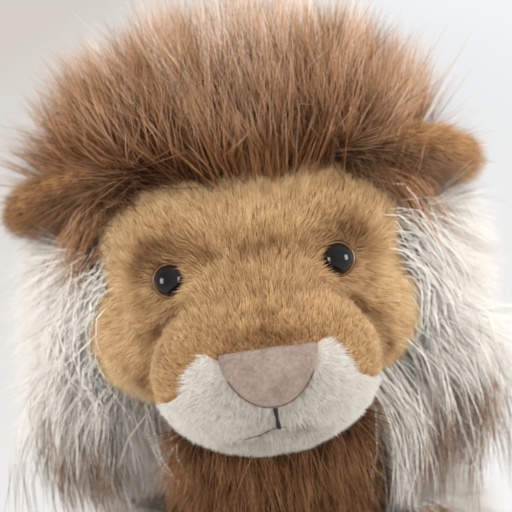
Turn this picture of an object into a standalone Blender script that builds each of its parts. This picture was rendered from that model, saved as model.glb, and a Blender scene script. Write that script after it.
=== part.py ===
"""Sitting plush lion, about 34 cm tall: sewn pile covers over fibre stuffing, with a long-haired mane.

Metres, +Z up. The lion faces -Y and its own left is +X. The origin lies in its flat seat.
Every cover is a shell that is open at its seams, and the stuffing inside it is a solid of its own.
Long hair is modelled as the room that each tuft fills.
"""

import math

import bmesh
import bpy
from mathutils import Matrix, Vector
from mathutils.bvhtree import BVHTree

# Cloth, seams and cutting
COVER_THICKNESS = 0.0025  # knitted backing with the foot of its pile
SEAM_GAP = 0.0003  # between any two neighbouring pieces
FLOOR_CUT = 0.0005  # how far the soles are pressed flat on what the lion sits on
CUT_OVERRUN = 0.004  # how far a cutter runs past the face that it cuts
SEAM_OPENING_SHARE = 0.3  # of a seam's radius: the hole left inside it for the stuffing

# Head. Its middle is also the middle of the dish that it turns and nods in.
HEAD_HEIGHT = 0.232
HEAD_FORWARD = 0.010
SKULL_HALF_WIDTH = 0.055
SKULL_HALF_DEPTH = 0.050
SKULL_HALF_HEIGHT = 0.042
MUZZLE_HALF_WIDTH = 0.035
MUZZLE_HALF_DEPTH = 0.032
MUZZLE_HALF_HEIGHT = 0.0275
MUZZLE_FORWARD = 0.046
MUZZLE_DROP = 0.019
LIP_TIP_SPACING = 0.039  # between the two points of the white lip, beside the nose
LIP_TIP_RISE = 0.0135  # above the muzzle's middle, as the next two are
LIP_MIDDLE_RISE = 0.004
LIP_CORNER_DROP = 0.008
NECK_RADIUS = 0.028
HEAD_BALL_RADIUS = 0.088  # all of the head that hangs near the body lies inside this ball
DISH_CLEARANCE = 0.002

# Neck gusset, the round cloth patch that the head's neck is sewn to the body through
GUSSET_RADIUS = 0.025
GUSSET_THICKNESS = 0.003
GUSSET_GAP = 0.0006

# Safety eyes, their washers, the nose and the mouth
EYE_SPACING = 0.0576
EYE_RISE = 0.0136
EYE_RADIUS = 0.006
EYE_DOME_HEIGHT = 0.0042
EYE_FLANGE_THICKNESS = 0.001
EYE_POST_RADIUS = 0.0017
EYE_POST_LENGTH = 0.013
WASHER_RADIUS = 0.0055
WASHER_THICKNESS = 0.0014
POST_CLEARANCE = 0.0003
NOSE_WIDTH = 0.033
NOSE_HEIGHT = 0.0185
NOSE_TOP_RISE = 0.0145  # above the muzzle's middle
NOSE_THICKNESS = 0.0022
NOSE_SQUARENESS = 0.8  # of its lower edge: 1 is a half oval, less is squarer
THREAD_RADIUS = 0.0008
THREAD_LIFT = 0.0008  # off the facets of the cover under it
THREAD_SPACING = 0.0012  # from the nose to the stitch, and from the stitch to the mouth line
STITCH_LENGTH = 0.0065
MOUTH_HALF_WIDTH = 0.016
MOUTH_DROOP = 0.0015

# Ears
EAR_SPACING = 0.114
EAR_RISE = 0.0385
EAR_HALF_LENGTH = 0.030
EAR_HALF_WIDTH = 0.0175
EAR_HALF_THICKNESS = 0.007
EAR_DROOP = math.radians(5)
EAR_ROLL = math.radians(40)  # turns the ear's open face down
EAR_FLAPS = [math.radians(angle) for angle in (-5, 0, 7.5, 15, 22.5, 30)]  # back, rest, forwards
EAR_CLEARANCE = 0.0008  # from the skull when the ear is flapped
EAR_ROOM = 0.002  # round the ear in the mane
EAR_LINING_DEPTH = 0.0045

# Mane on the head
MANE_HALF_WIDTH = 0.087
MANE_HALF_DEPTH = 0.056
MANE_SETBACK = 0.018
MANE_FRONT = 0.012  # its front face, ahead of the head's middle
BACK_MANE_START = 0.030  # behind the head's middle
CROWN_HALF_WIDTH = 0.088
CROWN_HALF_DEPTH = 0.034
CROWN_HALF_HEIGHT = 0.092
CROWN_RISE = 0.022
CROWN_END_ANGLE = math.radians(33)
CHEEK_TOP_ANGLE = math.radians(31)
RUFF_HALF_WIDTH = 0.025
RUFF_HALF_DEPTH = 0.024
RUFF_HALF_HEIGHT = 0.032
RUFF_ASIDE = 0.063
RUFF_DROP = 0.034
THROAT_HALF_ANGLE = math.radians(31)
THROAT_HALF_WIDTH = 0.046
THROAT_HALF_DEPTH = 0.022
THROAT_HALF_HEIGHT = 0.034
THROAT_FORWARD = 0.034
THROAT_DROP = 0.055

# Body
HIPS_HALF_DEPTH = 0.056
HIPS_HALF_HEIGHT = 0.054
HIPS_RISE = 0.0505
HIPS_SETBACK = 0.010
CHEST_HALF_WIDTH = 0.047
CHEST_HALF_DEPTH = 0.042
CHEST_HALF_HEIGHT = 0.050
CHEST_HEIGHT = 0.124
CHEST_FORWARD = 0.002
PELLET_BAG_HALF_WIDTH = 0.042
PELLET_BAG_HALF_DEPTH = 0.036
PELLET_BAG_HALF_HEIGHT = 0.016
PELLET_BAG_RISE = 0.030

# Mane on the body
BREAST_HALF_WIDTH = 0.033
BREAST_HALF_THICKNESS = 0.022
BREAST_TOP = 0.150
BREAST_LENGTH = 0.075
CAPE_HALF_WIDTH = 0.024
CAPE_HALF_DEPTH = 0.034
CAPE_HALF_THICKNESS = 0.014
CAPE_LENGTH = 0.046
NAPE_HALF_WIDTH = 0.040
NAPE_HALF_THICKNESS = 0.015
NAPE_LENGTH = 0.062
HAIR_ROOT_SHARE = 0.75  # of a tuft's thickness, at its upper end
HAIR_SWELL_SHARE = 0.35  # of the way down a tuft, where it is thickest
HAIR_TIP_SHARE = 0.3  # of a tuft's thickness, at its lower end

# Front legs, which hinge at the shoulder
SHOULDER_FLAT_DEPTH = 0.010  # how far the flat shoulder seam cuts into the chest's side
SHOULDER_POCKET_CLEARANCE = 0.002  # round the front leg where it lies in the body's side
SHOULDER_HEIGHT = 0.121
SHOULDER_FORWARD = 0.034
SHOULDER_RADIUS = 0.026
FORELEG_HALF_WIDTH = 0.0148
FORELEG_RAISE = math.radians(75)
LEG_FLAT_DEPTH = 0.004  # how far the flat seam face cuts into the top of any leg
WRIST_HEIGHT = 0.022
WRIST_FORWARD = 0.068
WRIST_RADIUS = 0.0145
FORE_PAW_HALF_LENGTH = 0.024
FORE_PAW_HALF_HEIGHT = 0.014
FORE_PAW_REACH = 0.012  # the paw's middle, ahead of the wrist

# Hind legs, which hinge at the hip
HIP_FLAT_DEPTH = 0.006  # how far the flat hip seam cuts into the body's side
HIP_HEIGHT = 0.045
HIP_SETBACK = 0.012
THIGH_RADIUS = 0.041
HINDLEG_HALF_WIDTH = 0.0155
HEEL_FORWARD = 0.012
HEEL_RADIUS = 0.0145
HIND_PAW_HALF_LENGTH = 0.020
HIND_PAW_HALF_HEIGHT = 0.0145
HIND_PAW_FORWARD = 0.068

# Stitched toe lines
TOE_SPREAD_SHARE = 0.42  # of the paw's half width, from the middle line to the outer ones
TOE_LOW_ANGLE = math.radians(8)
TOE_HIGH_ANGLE = math.radians(55)

# Tail
TAIL_ROOT_RADIUS = 0.011
TAIL_TIP_RADIUS = 0.007
TAIL_ROOT_HEIGHT = 0.019
TAIL_LENGTH = 0.095
TAIL_SWING = math.radians(40)  # to each side
TAIL_CLEARANCE = 0.0007  # round its root, for its facets as it swings
TUFT_HALF_LENGTH = 0.027
TUFT_HALF_WIDTH = 0.0145
TUFT_HALF_HEIGHT = 0.0125
TUFT_OVERLAP = 0.010  # how far the tuft's hair reaches back over the tail

# How finely the round forms are faceted: round their axis, and along it
BALL_FACETS = (16, 8)
LIMB_FACETS = (12, 6)
HAIR_FACETS = (12, 8)
FINE_FACETS = (20, 12)
GUSSET_FACETS = (24, 16)
GUSSET_RIM_FACETS = 20
BAR_FACETS = 16
TURNED_STEPS = 12
DOME_STEPS = 4
NOSE_STEPS = 12
WEDGE_STEPS = 6
SWEEP_STEPS = 4
STITCH_POINTS = 4
MOUTH_POINTS = 9
TOE_POINTS = 6
POINT_MERGE = 0.00003  # points nearer to each other than this are made one

# Worked out from the sizes above
HEAD = Vector((0, -HEAD_FORWARD, HEAD_HEIGHT))
SKULL_RADII = Vector((SKULL_HALF_WIDTH, SKULL_HALF_DEPTH, SKULL_HALF_HEIGHT))
MUZZLE = HEAD + Vector((0, -MUZZLE_FORWARD, -MUZZLE_DROP))
MUZZLE_RADII = Vector((MUZZLE_HALF_WIDTH, MUZZLE_HALF_DEPTH, MUZZLE_HALF_HEIGHT))
EAR_RADII = Vector((EAR_HALF_LENGTH, EAR_HALF_THICKNESS, EAR_HALF_WIDTH))
SHOULDER_PLANE = CHEST_HALF_WIDTH - SHOULDER_FLAT_DEPTH
FORELEG_X = SHOULDER_PLANE + SEAM_GAP + FORELEG_HALF_WIDTH
HIP_PLANE = FORELEG_X + FORELEG_HALF_WIDTH + SEAM_GAP
HINDLEG_X = HIP_PLANE + SEAM_GAP + HINDLEG_HALF_WIDTH
HIPS = Vector((0, HIPS_SETBACK, HIPS_RISE))
HIPS_RADII = Vector((HIP_PLANE + HIP_FLAT_DEPTH, HIPS_HALF_DEPTH, HIPS_HALF_HEIGHT))
CHEST = Vector((0, -CHEST_FORWARD, CHEST_HEIGHT))
CHEST_RADII = Vector((CHEST_HALF_WIDTH, CHEST_HALF_DEPTH, CHEST_HALF_HEIGHT))
STUFFING_INSET = COVER_THICKNESS + SEAM_GAP
SEAM_OPENINGS = {
    "shoulder": SHOULDER_RADIUS * SEAM_OPENING_SHARE,
    "hip": THIGH_RADIUS * SEAM_OPENING_SHARE,
}
WHOLE = 4 * HEAD_HEIGHT  # longer than the lion, for cutters that reach right across it
LEFT_AND_RIGHT = (("left", 1), ("right", -1))

lion = bpy.data.collections.new("plush_lion")
cutters = bpy.data.collections.new("cutters")


def clear_scene():
    """Removes the objects that the scene starts with and adds the two collections."""
    for old in list(bpy.data.objects):
        bpy.data.objects.remove(old)
    bpy.context.scene.collection.children.link(lion)
    bpy.context.scene.collection.children.link(cutters)


def material(name, colour, roughness):
    """A Principled material from a linear RGB colour."""
    made = bpy.data.materials.new(name)
    made.use_nodes = True
    shader = made.node_tree.nodes["Principled BSDF"]
    shader.inputs["Base Color"].default_value = (*colour, 1)
    shader.inputs["Roughness"].default_value = roughness
    made.diffuse_color = (*colour, 1)
    return made


golden_pile = material("golden_pile", (0.53, 0.33, 0.155), 0.9)
cream_pile = material("cream_pile", (0.60, 0.55, 0.48), 0.9)
brown_mane = material("brown_mane", (0.22, 0.105, 0.048), 0.8)
white_mane = material("white_mane", (0.62, 0.56, 0.50), 0.8)
dark_lining = material("dark_lining", (0.20, 0.10, 0.06), 0.9)
stuffing_fibre = material("stuffing_fibre", (0.85, 0.85, 0.83), 1.0)
eye_plastic = material("eye_plastic", (0.008, 0.008, 0.01), 0.08)
washer_plastic = material("washer_plastic", (0.7, 0.7, 0.68), 0.5)
nose_velour = material("nose_velour", (0.42, 0.33, 0.27), 0.9)
navy_thread = material("navy_thread", (0.015, 0.015, 0.045), 0.6)
brown_thread = material("brown_thread", (0.09, 0.045, 0.025), 0.7)
pellet_cloth = material("pellet_cloth", (0.75, 0.73, 0.68), 0.9)


def grown(radii, by):
    """Ellipsoid radii made larger, or smaller where by is negative."""
    return Vector(radii) + Vector((by, by, by))


def place(bm, name, finish):
    """The bmesh as a named object: a piece of the lion, or a cutter where finish is None."""
    mesh = bpy.data.meshes.new(name)
    bmesh.ops.recalc_face_normals(bm, faces=bm.faces)
    bm.to_mesh(mesh)
    bm.free()
    made = bpy.data.objects.new(name, mesh)
    if finish is None:
        made.hide_render = True
        made.display_type = "WIRE"
        cutters.objects.link(made)
    else:
        mesh.materials.append(finish)
        mesh.shade_smooth()
        lion.objects.link(made)
    return made


def boolean(target, operation, tools):
    """Adds a live Boolean modifier to target for each of the tools."""
    for tool in tools:
        step = target.modifiers.new(f"{operation} {tool.name}", "BOOLEAN")
        step.operation = operation
        step.solver = "EXACT"
        step.object = tool
    return target


def cut(target, *tools):
    return boolean(target, "DIFFERENCE", tools)


def keep_inside(target, *tools):
    return boolean(target, "INTERSECT", tools)


def join(target, *tools):
    return boolean(target, "UNION", tools)


def ellipsoid_bmesh(centre, radii, turn, facets):
    bm = bmesh.new()
    bmesh.ops.create_uvsphere(bm, u_segments=facets[0], v_segments=facets[1], radius=1)
    matrix = Matrix.Translation(centre) @ turn.to_4x4() @ Matrix.Diagonal((*radii, 1))
    bmesh.ops.transform(bm, matrix=matrix, verts=bm.verts)
    return bm


def ellipsoid(name, finish, centre, radii, turn=Matrix(), facets=BALL_FACETS):
    return place(ellipsoid_bmesh(centre, radii, turn, facets), name, finish)


def head_ball(name, grow, finish=None, facets=FINE_FACETS):
    """The ball round the head's middle that everything hanging near the body keeps inside."""
    return ellipsoid(name, finish, HEAD, grown((HEAD_BALL_RADIUS,) * 3, grow), facets=facets)


def wrap(bm, name, finish):
    """The tight skin round the bmesh's points, as an object."""
    found = bmesh.ops.convex_hull(bm, input=bm.verts)
    spare = set(found["geom_interior"]) | set(found["geom_unused"])
    bmesh.ops.delete(bm, geom=[g for g in spare if isinstance(g, bmesh.types.BMVert)], context="VERTS")
    return place(bm, name, finish)


def stuffed_form(name, finish, blobs, facets=LIMB_FACETS):
    """The tight skin round some ellipsoids: a form that swells and tapers.

    Each is a (centre, radii), or a (centre, radii, turn) where it is turned.
    """
    bm = bmesh.new()
    for centre, radii, *turn in blobs:
        blob = ellipsoid_bmesh(centre, radii, turn[0] if turn else Matrix(), facets)
        for vert in blob.verts:
            bm.verts.new(vert.co)
        blob.free()
    return wrap(bm, name, finish)


def slot(name, discs, start_x, end_x):
    """A cutter along X with straight sides round some discs, each (y, z, radius)."""
    bm = bmesh.new()
    for y, z, radius in discs:
        for step in range(BAR_FACETS):
            angle = 2 * math.pi * step / BAR_FACETS
            for x in (start_x, end_x):
                bm.verts.new((x, y + radius * math.cos(angle), z + radius * math.sin(angle)))
    return wrap(bm, name, None)


def box(name, low, high):
    """A box cutter between two opposite corners."""
    bm = bmesh.new()
    bmesh.ops.create_cube(bm, size=1)
    low, high = Vector(low), Vector(high)
    size = Vector(abs(side) for side in high - low)
    matrix = Matrix.Translation((low + high) / 2) @ Matrix.Diagonal((*size, 1))
    bmesh.ops.transform(bm, matrix=matrix, verts=bm.verts)
    return place(bm, name, None)


def bar(name, start, end, radius, facets=BAR_FACETS):
    """A round bar cutter from start to end."""
    bm = bmesh.new()
    start, end = Vector(start), Vector(end)
    along = end - start
    bmesh.ops.create_cone(
        bm, cap_ends=True, segments=facets, radius1=radius, radius2=radius, depth=along.length
    )
    turn = along.to_track_quat("Z", "Y").to_matrix().to_4x4()
    bmesh.ops.transform(bm, matrix=Matrix.Translation((start + end) / 2) @ turn, verts=bm.verts)
    return place(bm, name, None)


def prism(name, outline, start_y, end_y):
    """A cutter with the outline, a list of (x, z), run along Y."""
    bm = bmesh.new()
    face = bm.faces.new([bm.verts.new((x, start_y, z)) for x, z in outline])
    made = bmesh.ops.extrude_face_region(bm, geom=[face])
    moved = [g for g in made["geom"] if isinstance(g, bmesh.types.BMVert)]
    bmesh.ops.translate(bm, vec=(0, end_y - start_y, 0), verts=moved)
    return place(bm, name, None)


def turned(name, finish, profile, foot, out):
    """A turned piece from a profile of (radius, height), listed top to bottom down its outer side.

    A profile that doesn't start on the axis is a ring's, and closes on itself.
    """
    bm = bmesh.new()
    points = [bm.verts.new((radius, 0, height)) for radius, height in profile]
    for upper, lower in zip(points, points[1:]):
        bm.edges.new((upper, lower))
    if profile[0][0] > 0:
        bm.edges.new((points[-1], points[0]))
    mesh = bpy.data.meshes.new(name)
    bm.to_mesh(mesh)
    bm.free()
    made = bpy.data.objects.new(name, mesh)
    made.location = foot
    made.rotation_euler = out.to_track_quat("Z", "Y").to_euler()
    screw = made.modifiers.new("turn", "SCREW")
    screw.steps = screw.render_steps = TURNED_STEPS
    screw.use_merge_vertices = True
    screw.merge_threshold = POINT_MERGE
    mesh.materials.append(finish)
    lion.objects.link(made)
    return made


def thread(name, finish, points):
    """One run of sewn thread through the points."""
    curve = bpy.data.curves.new(name, "CURVE")
    curve.dimensions = "3D"
    curve.bevel_depth = THREAD_RADIUS
    curve.bevel_resolution = 1
    curve.use_fill_caps = True
    spline = curve.splines.new("POLY")
    spline.points.add(len(points) - 1)
    for spline_point, point in zip(spline.points, points):
        spline_point.co = (*point, 1)
    strand = bpy.data.objects.new(name, curve)
    cutters.objects.link(strand)
    bpy.context.view_layer.update()
    tube = bpy.data.meshes.new_from_object(strand.evaluated_get(bpy.context.evaluated_depsgraph_get()))
    bpy.data.objects.remove(strand)
    bm = bmesh.new()
    bm.from_mesh(tube)
    bpy.data.meshes.remove(tube)
    bmesh.ops.remove_doubles(bm, verts=bm.verts, dist=POINT_MERGE)
    return place(bm, name, finish)


def surface(piece):
    """The piece's surface as its modifiers leave it, to lay other pieces on."""
    bpy.context.view_layer.update()
    return BVHTree.FromObject(piece, bpy.context.evaluated_depsgraph_get())


def hang(pieces, name, location):
    """Hangs pieces, where they are, on an empty that stands on their joint's axis."""
    axis = bpy.data.objects.new(name, None)
    axis.location = location
    axis.empty_display_size = SKULL_HALF_WIDTH
    lion.objects.link(axis)
    bpy.context.view_layer.update()
    for piece in pieces:
        piece.parent = axis
        piece.matrix_parent_inverse = axis.matrix_world.inverted()
    return axis


# Head: skull, neck and muzzle covers over one stuffing


def skull(name, finish, inset):
    return ellipsoid(name, finish, HEAD, grown(SKULL_RADII, -inset), facets=FINE_FACETS)


def neck(name, inset):
    """The neck runs straight down from inside the skull and out of the head ball."""
    end = HEAD - Vector((0, 0, HEAD_BALL_RADIUS + CUT_OVERRUN))
    return bar(name, HEAD, end, NECK_RADIUS - inset)


def muzzle(name, finish, inset):
    return ellipsoid(name, finish, MUZZLE, grown(MUZZLE_RADII, -inset), facets=FINE_FACETS)


def neck_end(name):
    """The head ball, faceted as finely as the gusset that the neck's end lies on."""
    return head_ball(name, 0, facets=GUSSET_FACETS)


def lip_outline(gap):
    """The white lip's upper edge, with a point each side of the nose, closed well below the muzzle."""
    tip_x = LIP_TIP_SPACING / 2
    slope = (LIP_TIP_RISE + LIP_CORNER_DROP) / (MUZZLE_HALF_WIDTH - tip_x)
    far_x = MUZZLE_HALF_WIDTH + CUT_OVERRUN
    far_rise = LIP_TIP_RISE - slope * (far_x - tip_x)
    upper = [(-far_x, far_rise), (-tip_x, LIP_TIP_RISE), (0, LIP_MIDDLE_RISE)]
    upper += [(tip_x, LIP_TIP_RISE), (far_x, far_rise)]
    outline = [(x, MUZZLE.z + rise + gap) for x, rise in upper]
    floor = MUZZLE.z - MUZZLE_HALF_HEIGHT - CUT_OVERRUN
    return [(-far_x, floor), *outline, (far_x, floor)]


def build_muzzle(skull_hollow):
    """The golden bridge and the white lip, two shells that meet at the seam between their colours."""
    hollow = muzzle("muzzle_hollow", None, COVER_THICKNESS)
    neck_room = neck("neck_clear_of_muzzle", -SEAM_GAP)
    made = []
    for name, finish in (("bridge_cover", golden_pile), ("lip_cover", cream_pile)):
        piece = muzzle(name, finish, 0)
        cut(piece, hollow, skull_hollow, neck_room)
        made.append(piece)
    bridge, lip = made
    cut(bridge, prism("lip_room", lip_outline(SEAM_GAP), MUZZLE.y - WHOLE, MUZZLE.y + WHOLE))
    keep_inside(lip, prism("lip_edge", lip_outline(0), MUZZLE.y - WHOLE, MUZZLE.y + WHOLE))
    return made


def build_head():
    skull_hollow = skull("skull_hollow", None, COVER_THICKNESS)
    cover = skull("head_cover", golden_pile, 0)
    join(cover, neck("neck_form", 0))
    keep_inside(cover, neck_end("cover_end"))
    muzzle_hole = muzzle("muzzle_hole", None, -SEAM_GAP)
    cut(cover, skull_hollow, neck("neck_hollow", COVER_THICKNESS), muzzle_hole)

    stuffing = skull("head_stuffing", stuffing_fibre, STUFFING_INSET)
    muzzle_form = muzzle("muzzle_stuffing", None, STUFFING_INSET)
    join(stuffing, neck("neck_stuffing", STUFFING_INSET), muzzle_form)
    keep_inside(stuffing, neck_end("stuffing_end"))

    bridge, lip = build_muzzle(skull_hollow)
    pieces = [cover, stuffing, bridge, lip, build_nose(), *build_mouth(lip)]
    for word, side in LEFT_AND_RIGHT:
        pieces += build_eye(word, side, cover, stuffing)
    return pieces


def eye_seat(face, side):
    """Where the eye's middle lies on the cover, and the way that the cover faces there."""
    ahead = HEAD + Vector((side * EYE_SPACING / 2, -WHOLE, EYE_RISE))
    hit, out, _, _ = face.ray_cast(ahead, Vector((0, 1, 0)))
    return hit, out


def build_eye(word, side, cover, stuffing):
    """A safety eye: its flange lies on the cover, its post goes through to a washer inside."""
    seat, out = eye_seat(surface(cover), side)
    profile = []
    for step in range(DOME_STEPS + 1):
        angle = math.pi / 2 * (1 - step / DOME_STEPS)
        dome_height = EYE_FLANGE_THICKNESS + EYE_DOME_HEIGHT * math.sin(angle)
        profile.append((EYE_RADIUS * math.cos(angle), dome_height))
    profile[0] = (0, EYE_FLANGE_THICKNESS + EYE_DOME_HEIGHT)
    profile += [(EYE_RADIUS, 0), (EYE_POST_RADIUS, 0)]
    profile += [(EYE_POST_RADIUS, -EYE_POST_LENGTH), (0, -EYE_POST_LENGTH)]
    eye = turned(f"eye_{word}", eye_plastic, profile, seat + out * SEAM_GAP, out)

    # From one facet to the next, the cover's hollow side bends in towards the flat washer's rim
    wall_sag = WASHER_RADIUS * math.tan(2 * math.pi / FINE_FACETS[0])
    washer_top = seat - out * (COVER_THICKNESS + wall_sag)
    bore = EYE_POST_RADIUS + POST_CLEARANCE
    ring = [(bore, 0), (WASHER_RADIUS, 0), (WASHER_RADIUS, -WASHER_THICKNESS), (bore, -WASHER_THICKNESS)]
    washer = turned(f"eye_washer_{word}", washer_plastic, ring, washer_top, out)

    post_end = seat - out * EYE_POST_LENGTH
    post_hole = bar(f"post_hole_{word}", seat + out * CUT_OVERRUN, post_end, bore)
    washer_foot = washer_top - out * (WASHER_THICKNESS + SEAM_GAP)
    washer_room = bar(
        f"washer_room_{word}", seat + out * CUT_OVERRUN, washer_foot, WASHER_RADIUS + SEAM_GAP
    )
    cut(cover, post_hole)
    cut(stuffing, post_hole, washer_room)
    return [eye, washer]


def build_nose():
    """A padded patch with a straight top edge and a round lower one, laid on the muzzle's front."""
    half = NOSE_WIDTH / 2
    top = MUZZLE.z + NOSE_TOP_RISE
    outline = [(half, top), (-half, top)]
    for step in range(1, NOSE_STEPS):
        angle = math.pi * (1 + step / NOSE_STEPS)
        across = math.copysign(abs(math.cos(angle)) ** NOSE_SQUARENESS, math.cos(angle))
        outline.append((half * across, top + NOSE_HEIGHT * math.sin(angle)))
    nose = muzzle("nose", nose_velour, -SEAM_GAP - NOSE_THICKNESS)
    keep_inside(nose, prism("nose_outline", outline, MUZZLE.y - WHOLE, MUZZLE.y))
    return cut(nose, muzzle("nose_seat", None, -SEAM_GAP))


def on_muzzle(face, x, z):
    """Where a thread lies on the muzzle's front at x, and at z from the muzzle's middle."""
    ahead = MUZZLE + Vector((x, -WHOLE, z))
    hit, out, _, _ = face.ray_cast(ahead, Vector((0, 1, 0)))
    return hit + out * (THREAD_LIFT + THREAD_RADIUS)


def build_mouth(lip):
    """One upright stitch under the nose, and below it the mouth line, which droops to both sides."""
    face = surface(lip)
    stitch_top = NOSE_TOP_RISE - NOSE_HEIGHT - THREAD_SPACING
    stitch = []
    for step in range(STITCH_POINTS):
        z = stitch_top - STITCH_LENGTH * step / (STITCH_POINTS - 1)
        stitch.append(on_muzzle(face, 0, z))
    mouth_top = stitch_top - STITCH_LENGTH - THREAD_SPACING
    mouth = []
    for step in range(MOUTH_POINTS):
        across = 2 * step / (MOUTH_POINTS - 1) - 1
        z = mouth_top - MOUTH_DROOP * across**2
        mouth.append(on_muzzle(face, across * MOUTH_HALF_WIDTH, z))
    return [thread("nose_stitch", navy_thread, stitch), thread("mouth_line", brown_thread, mouth)]


# Ears: a pile flap with a dark lining, which hinges where it is sewn to the skull


def ear_turn(side):
    """The ear's turn, with x along it towards its tip, y out of its back and z across it."""
    facing = Matrix.Diagonal((side, 1, 1))
    droop = Matrix.Rotation(side * EAR_DROOP, 3, "Y")
    roll = Matrix.Rotation(EAR_ROLL, 3, "X")
    return droop @ roll @ facing


def ear_middle(side):
    return HEAD + Vector((side * EAR_SPACING / 2, 0, EAR_RISE))


def ear_root(side):
    return ear_middle(side) - ear_turn(side) @ Vector((EAR_HALF_LENGTH, 0, 0))


def ear_flap(side, angle):
    """The turn that flaps the ear forwards by the angle, about a line through its root."""
    length = ear_turn(side) @ Vector((1, 0, 0))
    line = length.cross(Vector((0, -1, 0)))
    return Matrix.Rotation(angle, 3, line)


def build_ear(word, side):
    turn = ear_turn(side)
    middle = ear_middle(side)
    root = ear_root(side)
    front = turn @ Vector((0, -1, 0))
    dish_middle = middle + front * (2 * EAR_HALF_THICKNESS - EAR_LINING_DEPTH)

    # Seen from the ear, the skull turns the other way, and the ear's base is cut back from it all along
    skulls = []
    for step, angle in enumerate(EAR_FLAPS):
        back = ear_flap(side, -angle)
        gap = EAR_CLEARANCE if angle else SEAM_GAP
        centre = root + back @ (HEAD - root)
        name = f"skull_by_ear_{word}_{step}"
        skulls.append(ellipsoid(name, None, centre, grown(SKULL_RADII, gap), back, FINE_FACETS))

    def dish(name, grow):
        return ellipsoid(name, None, dish_middle, grown(EAR_RADII, grow), turn, FINE_FACETS)

    flap = ellipsoid(f"ear_{word}", golden_pile, middle, EAR_RADII, turn)
    cut(flap, dish(f"ear_dish_{word}", SEAM_GAP), *skulls)
    lining = ellipsoid(f"ear_lining_{word}", dark_lining, middle, EAR_RADII, turn)
    keep_inside(lining, dish(f"ear_lens_{word}", 0))
    cut(lining, *skulls)
    return hang([flap, lining], f"ear_axis_{word}", root)


def ear_room(word, side):
    """Room for the ear in the mane, from furthest back to furthest forwards."""
    root = ear_root(side)
    blobs = []
    for angle in EAR_FLAPS:
        flap = ear_flap(side, angle)
        centre = root + flap @ (ear_middle(side) - root)
        blobs.append((centre, grown(EAR_RADII, EAR_ROOM), flap @ ear_turn(side)))
    return stuffed_form(f"ear_room_{word}", None, blobs, BALL_FACETS)


# Mane on the head: tufts of long hair round the skull, parted at the seams between their colours


def mane_ring(name, finish):
    """The room that the mane fills round the head, inside the head ball."""
    radii = (MANE_HALF_WIDTH, MANE_HALF_DEPTH, MANE_HALF_WIDTH)
    ring = ellipsoid(name, finish, HEAD + Vector((0, MANE_SETBACK, 0)), radii)
    return keep_inside(ring, head_ball(f"{name}_ball", 0, facets=BALL_FACETS))


def wedge(name, start_angle, end_angle):
    """A slice of pie round the head's front-to-back line, drawn back from its point by the seam gap."""
    middle = (start_angle + end_angle) / 2
    point = (HEAD.x + SEAM_GAP * math.cos(middle), HEAD.z + SEAM_GAP * math.sin(middle))
    outline = [point]
    for step in range(WEDGE_STEPS + 1):
        angle = start_angle + (end_angle - start_angle) * step / WEDGE_STEPS
        outline.append((point[0] + WHOLE * math.cos(angle), point[1] + WHOLE * math.sin(angle)))
    return prism(name, outline, HEAD.y - WHOLE, HEAD.y + WHOLE)


def clear_of_head(tuft, rooms):
    """Cuts a tuft back from the skull, the neck, the muzzle and the ears."""
    cut(tuft, skull(f"{tuft.name}_skull", None, -SEAM_GAP), neck(f"{tuft.name}_neck", -SEAM_GAP))
    return cut(tuft, *rooms)


def ruff(word, side):
    """The fuller hair beside the jaw."""
    middle = HEAD + Vector((side * RUFF_ASIDE, 0, -RUFF_DROP))
    radii = (RUFF_HALF_WIDTH, RUFF_HALF_DEPTH, RUFF_HALF_HEIGHT)
    return ellipsoid(f"ruff_{word}", None, middle, radii)


def frame_slice(tuft, start_angle, end_angle):
    """Keeps the slice of a tuft that frames the face, in front of the back mane."""
    front = (-WHOLE, HEAD.y - MANE_FRONT, HEAD.z - WHOLE)
    back = (WHOLE, HEAD.y + BACK_MANE_START - SEAM_GAP, HEAD.z + WHOLE)
    slab = box(f"{tuft.name}_slab", front, back)
    return keep_inside(tuft, wedge(f"{tuft.name}_wedge", start_angle, end_angle), slab)


def build_head_mane(rooms):
    crown_middle = HEAD + Vector((0, MANE_SETBACK / 2, CROWN_RISE))
    crown_radii = (CROWN_HALF_WIDTH, CROWN_HALF_DEPTH, CROWN_HALF_HEIGHT)
    crown = ellipsoid("crown_mane", brown_mane, crown_middle, crown_radii)
    frame_slice(crown, CROWN_END_ANGLE, math.pi - CROWN_END_ANGLE)

    down = -math.pi / 2
    left = mane_ring("cheek_mane_left", white_mane)
    frame_slice(left, down + THROAT_HALF_ANGLE, CHEEK_TOP_ANGLE)
    join(left, ruff("left", 1))
    right = mane_ring("cheek_mane_right", white_mane)
    frame_slice(right, -math.pi - CHEEK_TOP_ANGLE, down - THROAT_HALF_ANGLE)
    join(right, ruff("right", -1))

    throat_middle = HEAD - Vector((0, THROAT_FORWARD, THROAT_DROP))
    throat_radii = (THROAT_HALF_WIDTH, THROAT_HALF_DEPTH, THROAT_HALF_HEIGHT)
    throat = ellipsoid("throat_mane", brown_mane, throat_middle, throat_radii)
    keep_inside(throat, head_ball("throat_ball", 0, facets=BALL_FACETS))
    keep_inside(throat, wedge("throat_wedge", down - THROAT_HALF_ANGLE, down + THROAT_HALF_ANGLE))
    cut(throat, muzzle("throat_muzzle", None, -SEAM_GAP))
    behind_neck = HEAD.y + NECK_RADIUS / 2
    cut(throat, box("throat_back", (-WHOLE, behind_neck, -WHOLE), (WHOLE, WHOLE, WHOLE)))

    back = mane_ring("back_mane", brown_mane)
    behind = (-WHOLE, HEAD.y + BACK_MANE_START, HEAD.z - WHOLE)
    keep_inside(back, box("back_slab", behind, (WHOLE, WHOLE, HEAD.z + WHOLE)))
    return [clear_of_head(tuft, rooms) for tuft in (crown, left, right, throat, back)]


# Neck and body


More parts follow.
